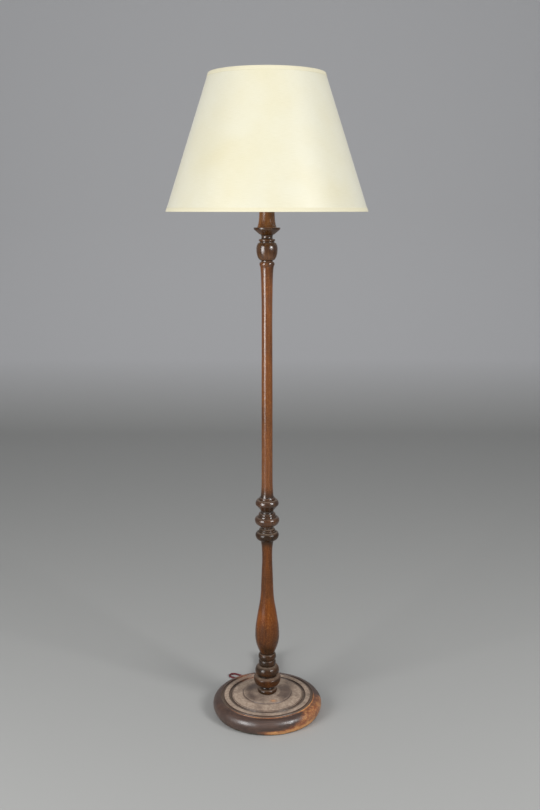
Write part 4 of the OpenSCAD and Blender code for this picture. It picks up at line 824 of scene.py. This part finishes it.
# ---- Capital and candle sleeve --------------------------------------------------------------------
# A turned urn with a small drip pan on top, and in the pan's dish the flared wooden sleeve that
# stands for the candle. The urn and pan are stained darker than the sleeve, which is as the shaft is.
capital_stack = [
    ("plain", 4, 26.8, 26.8), ("level first", 25.5, 26.8, 48.8), ("upright first", 15, 48.8, 34),
    ("plain", 2, 33, 33), ("bead", 5.5, 33, 33, 37.4), ("level first", 3.5, 30, 25.6),
    ("plain", 1.5, 25.6, 25.6), ("upright first", 5.5, 25.6, 34.4), ("plain", 9.5, 34.4, 57),
    ("bead", 4.5, 57, 61, 60.2), ("plain", 1, 61, 61),
]
sleeve_stack = [("plain", 3, 48, 48), ("level first", 38, 48, 35), ("plain", 40, 35, 33)]
pan_rim = capital_foot + sum(row[1] for row in capital_stack)
pan_floor = pan_rim - 3.5
sleeve_top = pan_floor + sum(row[1] for row in sleeve_stack)
urn = turned("turned_capital", np.vstack([
    from_foot(socket_foot, capital_foot), stacked(capital_stack, capital_foot),
    [[29.5, pan_rim], [24.5, pan_floor], [bore_r, pan_floor]],
]), round_column, 23)
sleeve = turned("candle_sleeve_turning", np.vstack([
    [[bore_r, pan_floor]], stacked(sleeve_stack, pan_floor), [[bore_r, sleeve_top]],
]), round_column, 24, tone=[(1180, 0.75), (1270, 0.85)])
capital_wood = timber(
    "stained_hardwood_capital", (1.0, 1.0, 0.05), ("#2c1807", "#46290f", "#60401c"),
    ("#6a3a14", "#915826", "#b07a42"), ("#7c4018", "#a0602c", "#bf8248"), "#1a1006", (0.14, 0.24), 0.5, 0.85)
for piece, node in ((urn, "capital"), (sleeve, "candle_sleeve")):
    wear(piece, capital_wood)
    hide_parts(node)
    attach(piece, "stand")

# ---- Socket and switch ----------------------------------------------------------------------------
# A spun brass socket on the pipe: cap, shell, an insulating card inside it, a phenolic body with the
# screw shell and the centre contact, and a turn switch whose flat key points to the front.
spun_brass = metal(
    "spun_brass", "#a98847", "#d3b269", (0.2, 0.38), brushed=(1.0, 1.0, 12.0), tarnish="#6f5228",
    tarnish_share=0.5)
for name in ("socket_cap", "socket_shell", "screw_shell", "centre_contact", "switch_stem", "plug_blades"):
    wear(nodes[name], spun_brass)
card, tree, shader = new_material("fibre_card")
# Grey-brown vulcanised paper, rolled: dull, with short fibres all ways.
place = add(tree, "TexCoord").outputs["Object"]
fluff = add(tree, "TexNoise", {"Vector": place, "Scale": 700.0, "Detail": 5.0})
colour = add(tree, "ValToRGB", {"Fac": fluff}, stops=[(0.3, "#9c8766"), (0.7, "#bfa982")])
tree.links.new(colour.outputs["Color"], shader.inputs["Base Color"])
shader.inputs["Roughness"].default_value = 0.85
wear(nodes["socket_liner"], card)
phenolic, tree, shader = new_material("moulded_phenolic")
# Compression-moulded brown phenolic: a hard gloss with a faint mottle and fine scratches.
place = add(tree, "TexCoord").outputs["Object"]
mottle = add(tree, "TexNoise", {"Vector": place, "Scale": 260.0, "Detail": 4.0})
colour = add(tree, "ValToRGB", {"Fac": mottle}, stops=[(0.35, "#1b130f"), (0.7, "#37261d")])
tree.links.new(colour.outputs["Color"], shader.inputs["Base Color"])
rough = add(tree, "MapRange", {"Value": mottle, "To Min": 0.18, "To Max": 0.36})
tree.links.new(rough.outputs[0], shader.inputs["Roughness"])
wear(nodes["socket_body"], phenolic)


def switch_key(name, low, high, hub_l):
    """The switch's key along -Y: a short round hub that runs into a flat oval paddle. A share s goes
    from 0 at the hub to 1 at the rim, the half-width and half-thickness follow a smooth step after
    the hub, and the paddle's faces are fluted by a cosine and rounded at the rim."""
    s = np.concatenate([[0, 0], np.linspace(0.02, 1, 60), [1]])
    length = (low[1] - high[1]) / MM
    closing = np.where((np.arange(63) == 0) | (np.arange(63) == 62), 0, 1)
    step = np.clip((s * -length - hub_l) / 4, 0, 1)
    step = step * step * (3 - 2 * step)
    rim = np.clip((s - 0.86) / 0.14, 0, 1) ** 2
    half_w = (4.3 + ((high[0] - low[0]) / MM / 2 - 4.3) * step) * (1 - 0.12 * rim)
    half_t = (4.3 + (3.0 - 4.3) * step) * (1 - 0.35 * rim)
    angle = 2 * np.pi * np.arange(96) / 96
    c, n = np.cos(angle)[None], np.sin(angle)[None]
    power = (2 + 1.2 * step)[:, None]
    x = half_w[:, None] * np.sign(c) * np.abs(c) ** (2 / power)
    flute = 1 + 0.06 * step[:, None] * np.cos(2 * np.pi * x / 3.2)
    z = half_t[:, None] * np.sign(n) * np.abs(n) ** (2 / power) * flute
    centre = (low + high) / 2
    y = np.broadcast_to((high[1] + s * (low[1] - high[1]))[:, None], x.shape)
    spread = closing[:, None] * MM
    return surface(name, np.stack([centre[0] + x * spread, y, centre[2] + z * spread], 2), close_v=True)


key_low, key_high = (np.array(v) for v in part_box("switch_knob"))
key = switch_key("switch_key", key_low, key_high, 4)
wear(key, phenolic)
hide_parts("switch_knob")
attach(key, "switch")
smooth("socket_cap", "socket_shell", "screw_shell", "centre_contact", "switch_stem", "socket_liner")
smooth("socket_body")

# ---- Harp -----------------------------------------------------------------------------------------
# Bent brass-plated wire that drops into a saddle under the socket, locked by a sliding ferrule on
# each leg. The plating is warm, soft in its gloss and browned where hands and heat reach it.
plated = metal("aged_brass_plate", "#8f6f38", "#c39f5b", (0.22, 0.42), tarnish="#4f3a1e", tarnish_share=0.75)
for name in ("sleeve_ring", "harp_saddle", "harp_shoes", "harp_stud", "ferrule_left", "ferrule_right"):
    wear(nodes[name], plated)
smooth("sleeve_ring", "harp_saddle", "harp_shoes", "harp_stud", "ferrule_left", "ferrule_right")
saddle_z = sleeve_top + 2
shade_seat = saddle_z + 229
harp_wire_d, foot_x, harp_top_r = 4.8, 27, 56
wire_top = shade_seat - 8
wire_foot = saddle_z + 21.6 + 18
s_foot = wire_foot + 2
s_run = 84
s_angle = 2 * math.atan((harp_top_r - foot_x) / s_run)
s_r = s_run / 2 / math.sin(s_angle)
crown_z = wire_top - harp_top_r


def harp_side(side):
    """One leg from its foot to just short of the crown: straight up, out in an S of two equal arcs,
    straight again, and round a quarter circle."""
    a = s_angle * np.linspace(0, 1, 24)
    b = np.pi / 2 * np.linspace(0, 1, 49)[:-1]
    x = np.concatenate([
        [foot_x], foot_x + s_r * (1 - np.cos(a)), harp_top_r - s_r * (1 - np.cos(a[-2::-1])),
        np.full(8, harp_top_r), harp_top_r * np.cos(b)])
    z = np.concatenate([
        [wire_foot], s_foot + s_r * np.sin(a), s_foot + s_run - s_r * np.sin(a[-2::-1]),
        np.linspace(s_foot + s_run, crown_z, 10)[1:-1], crown_z + harp_top_r * np.sin(b)])
    return np.stack([side * x, 0 * x, z], 1)


harp_line = np.vstack([harp_side(1), [[0, 0, wire_top]], harp_side(-1)[::-1]]) * MM
wire = tube("harp_wire_bend", harp_line, harp_wire_d * MM, 20, up=(0, 1, 0))
wear(wire, plated)
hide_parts("harp_wire")
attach(wire, "harp")

# ---- Bulb -----------------------------------------------------------------------------------------
# A clear filament bulb on a medium screw cap: thin blown glass, a pressed glass stem with its
# lead wires and filament, a rolled brass cap and a black glass insulator round the contact.
blown, tree, shader = new_material("clear_blown_glass")
shader.inputs["Transmission Weight"].default_value = 1.0
shader.inputs["IOR"].default_value = 1.5
place = add(tree, "TexCoord").outputs["Object"]
ripple = add(tree, "TexNoise", {"Vector": place, "Scale": 40.0, "Detail": 2.0})
smudge = add(tree, "MapRange", {
    "Value": ripple, "From Min": 0.45, "From Max": 0.75, "To Min": 0.01, "To Max": 0.09})
tree.links.new(smudge.outputs[0], shader.inputs["Roughness"])
shader.inputs["Base Color"].default_value = linear("#f6f7f5")
wear(nodes["bulb_glass"], blown)
wear(nodes["bulb_stem"], blown)
wear(nodes["bulb_cap"], spun_brass)
black_glass, tree, shader = new_material("black_vitrite")
# Poured black glass between cap and contact: deep gloss with small bubbles.
place = add(tree, "TexCoord").outputs["Object"]
bubbles = add(tree, "TexVoronoi", {"Vector": place, "Scale": 600.0})
colour = add(tree, "ValToRGB", {"Fac": bubbles}, stops=[(0.1, "#1a1a1e"), (0.5, "#0a0a0c")])
tree.links.new(colour.outputs["Color"], shader.inputs["Base Color"])
shader.inputs["Roughness"].default_value = 0.12
wear(nodes["bulb_contact"], black_glass)
smooth("bulb_glass", "bulb_stem", "bulb_cap", "bulb_contact")

# ---- Shade ----------------------------------------------------------------------------------------
# An empire shade: ivory silk laminated to white styrene and glued to two wire rings, with a lapped
# seam at the back, edged above and below with the same silk folded over the wires.
shade_bottom_r, shade_h, shade_slope = 228.6, 298, 98.6 / 298
cover_t, shade_tape_t, tape_w, shade_wire_r = 1.2, 0.5, 8, 1.6
shade_top = shade_seat + 25
shade_bottom = shade_top - shade_h
cover_foot, cover_head = shade_bottom + shade_tape_t, shade_top - shade_tape_t
wire_in = cover_t + 0.1 + shade_wire_r / math.cos(math.atan(shade_slope))


def cover_radius(z):
    """The cover's outer radius at a height, on a straight cone."""
    return shade_bottom_r - shade_tape_t - shade_slope * (z - shade_bottom)


def revolved(name, outline, turn, ripple, uv_scale):
    """Revolves a closed outline about the axis, pushed outwards by ripple(angle, height), with a map
    of millimetres round and along the outline."""
    r, z = outline[:, :1], outline[:, 1:]
    grown = r + ripple(turn[None], z)
    grid = np.stack([grown * np.cos(turn), grown * np.sin(turn), z + 0 * turn], 2)
    side = np.linalg.norm(np.roll(outline, -1, axis=0) - outline, axis=1)
    far = np.concatenate([[0], np.cumsum(side)])
    uv = np.stack(np.meshgrid(far * MM, np.append(turn, 2 * np.pi) * uv_scale * MM, indexing="ij"), 2)
    return surface(name, grid * MM, close_u=True, close_v=True, uv=uv, crease=50)


def lapped(turn, z):
    """The back seam stands 0.35 mm proud over 9 mm, with edges 0.8 mm wide; the laminate's skin waves
    by a twentieth of a millimetre; and the cone is out of round by a fifth."""
    off = np.abs(turn - np.pi / 2) * cover_radius(z)
    seam = 0.35 * np.clip((4.9 - off) / 0.8, 0, 1)
    wave = 0.05 * np.sin(9 * turn + 0.02 * z) * np.sin(5 * turn - 0.013 * z + 1)
    return seam + wave - 0.1 + 0.1 * np.sin(2 * turn + 0.6)


seam_turns = np.pi / 2 + np.array([-4.9, -4.5, -4.1, -3, -1.5, 0, 1.5, 3, 4.1, 4.5, 4.9]) / 180
turns_round = np.linspace(0, 2 * np.pi, 240, endpoint=False)
shade_turns = np.sort(np.concatenate([turns_round[np.abs(turns_round - np.pi / 2) > 0.03], seam_turns]))
heights = np.linspace(cover_foot, cover_head, 76)
outer_side = np.stack([cover_radius(heights), heights], 1)
cover_outline = np.vstack([outer_side, (outer_side - [cover_t, 0])[::-1]])
cover = revolved("silk_cover", cover_outline, shade_turns, lapped, shade_bottom_r)

silk, tree, shader = new_material("ivory_dupion_silk")
# Plain-woven silk with a low lustre: slubs run round the shade as fine level streaks, a few
# centimetres long and half a millimetre high, and the weave is drawn at twice its real 0.25 mm.
place = add(tree, "TexCoord").outputs["Object"]
cloth = add(tree, "UVMap", uv_map="along")
slub_space = add(tree, "Mapping", {"Vector": cloth, "Scale": (1900.0, 45.0, 1.0)})
slub = add(tree, "TexNoise", {"Vector": slub_space, "Scale": 1.0, "Detail": 4.0, "Roughness": 0.6})
thread_space = add(tree, "Mapping", {"Vector": cloth, "Scale": (2000.0, 2000.0, 1.0)})
thread = add(tree, "TexNoise", {"Vector": thread_space, "Scale": 1.0, "Detail": 1.0})
yellowed = add(tree, "TexNoise", {"Vector": place, "Scale": 7.0, "Detail": 3.0})
threads = add(tree, "MixRGB", {"Fac": 0.3, "Color1": slub, "Color2": thread})
weft = add(tree, "ValToRGB", {"Fac": threads}, stops=[(0.25, "#cecbb4"), (0.5, "#d6d3bf"), (0.8, "#dddbcb")])
aged = add(tree, "ValToRGB", {"Fac": yellowed}, stops=[(0.3, "#ffffff"), (0.75, "#fbf6e6")])
colour = add(tree, "MixRGB", {"Fac": 1.0, "Color1": weft, "Color2": aged}, blend_type="MULTIPLY")
tree.links.new(colour.outputs[0], shader.inputs["Base Color"])
rough = add(tree, "MapRange", {"Value": slub, "To Min": 0.34, "To Max": 0.54})
tree.links.new(rough.outputs[0], shader.inputs["Roughness"])
shader.inputs["Specular IOR Level"].default_value = 0.7
shader.inputs["Sheen Weight"].default_value = 0.45
bump = add(tree, "Bump", {"Height": threads, "Strength": 0.25, "Distance": 0.00025})
tree.links.new(bump.outputs[0], shader.inputs["Normal"])
wear(cover, silk)

styrene, tree, shader = new_material("white_styrene_lining")
# Calendered styrene sheet behind the silk: matt white, with a faint unevenness from lamination.
place = add(tree, "TexCoord").outputs["Object"]
uneven = add(tree, "TexNoise", {"Vector": place, "Scale": 14.0, "Detail": 4.0})
colour = add(tree, "ValToRGB", {"Fac": uneven}, stops=[(0.3, "#e8e6dd"), (0.7, "#f3f1ea")])
tree.links.new(colour.outputs["Color"], shader.inputs["Base Color"])
shader.inputs["Roughness"].default_value = 0.55
cover.data.materials.append(styrene)
faces = len(cover.data.polygons)
normals, centres = np.zeros(3 * faces), np.zeros(3 * faces)
cover.data.polygons.foreach_get("normal", normals)
cover.data.polygons.foreach_get("center", centres)
inward = (normals.reshape(-1, 3)[:, :2] * centres.reshape(-1, 3)[:, :2]).sum(1) < 0
cover.data.polygons.foreach_set("material_index", inward.astype(np.int32))


def folded_tape(name, edge, toward):
    """The edging's section, as offsets from the cover's edge: down the outside, round the edge, round
    the ring's wire, and back to the cover inside. toward is 1 where the shade lies above the edge
    and -1 where it lies below."""
    turn = np.radians(np.linspace(-90, 75, 14))
    wire_r = shade_wire_r + 0.45
    section = np.vstack([
        [[0.05, tape_w], [0.4, tape_w], [0.5, tape_w - 0.3], [0.52, 4], [0.5, 0.4], [0.42, -0.2],
         [0.2, -0.44], [-0.2, -0.5], [-0.9, -0.5], [-1.8, -0.3]],
        np.stack([-wire_in - wire_r * np.sin(turn + np.pi / 2), 2 - wire_r * np.cos(turn + np.pi / 2)], 1),
        [[-cover_t - 0.5, 4.4], [-cover_t - 0.25, 6.6], [-cover_t + 0.2, 6.9], [-0.6, 7]],
    ])
    z = edge + toward * section[:, 1]
    outline = np.stack([cover_radius(z) + section[:, 0], z], 1)

    def puckered(turn, z):
        return lapped(turn, z) + 0.04 * np.sin(61 * turn)

    return revolved(name, outline, shade_turns, puckered, shade_bottom_r)


silk_tape, tree, shader = new_material("ivory_silk_edging")
# Bias-cut silk of the same dye, folded over and glued: its threads lie at 45 degrees.
cloth = add(tree, "UVMap", uv_map="along")
bias = add(tree, "Mapping", {
    "Vector": cloth, "Scale": (1800.0, 1800.0, 1.0), "Rotation": (0.0, 0.0, math.radians(45))})
thread = add(tree, "TexNoise", {"Vector": bias, "Scale": 1.0, "Detail": 2.0})
colour = add(tree, "ValToRGB", {"Fac": thread}, stops=[(0.3, "#cfc8aa"), (0.7, "#dad4ba")])
tree.links.new(colour.outputs["Color"], shader.inputs["Base Color"])
shader.inputs["Roughness"].default_value = 0.6
shader.inputs["Sheen Weight"].default_value = 0.15
bump = add(tree, "Bump", {"Height": thread, "Strength": 0.3, "Distance": 0.0003})
tree.links.new(bump.outputs[0], shader.inputs["Normal"])
foot_tape = folded_tape("foot_edging", cover_foot, 1)
head_tape = folded_tape("head_edging", cover_head, -1)
for piece, node in ((foot_tape, "shade_bottom_trim"), (head_tape, "shade_top_trim")):
    wear(piece, silk_tape)
    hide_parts(node)
    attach(piece, "shade")
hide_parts("shade_cover")
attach(cover, "shade")
for name in ("shade_spider", "shade_bottom_ring"):
    wear(nodes[name], plated)
smooth("shade_spider", "shade_bottom_ring")

# ---- Finial ---------------------------------------------------------------------------------------
# A small turned brass ball finial and its washer, lacquered, which clamp the spider to the harp.
lacquered = metal("lacquered_brass", "#b08d45", "#dcbb70", (0.14, 0.26), tarnish="#7a5c2b", tarnish_share=0.4)
for name in ("finial", "finial_washer"):
    wear(nodes[name], lacquered)
smooth("finial", "finial_washer")

bpy.context.view_layer.update()
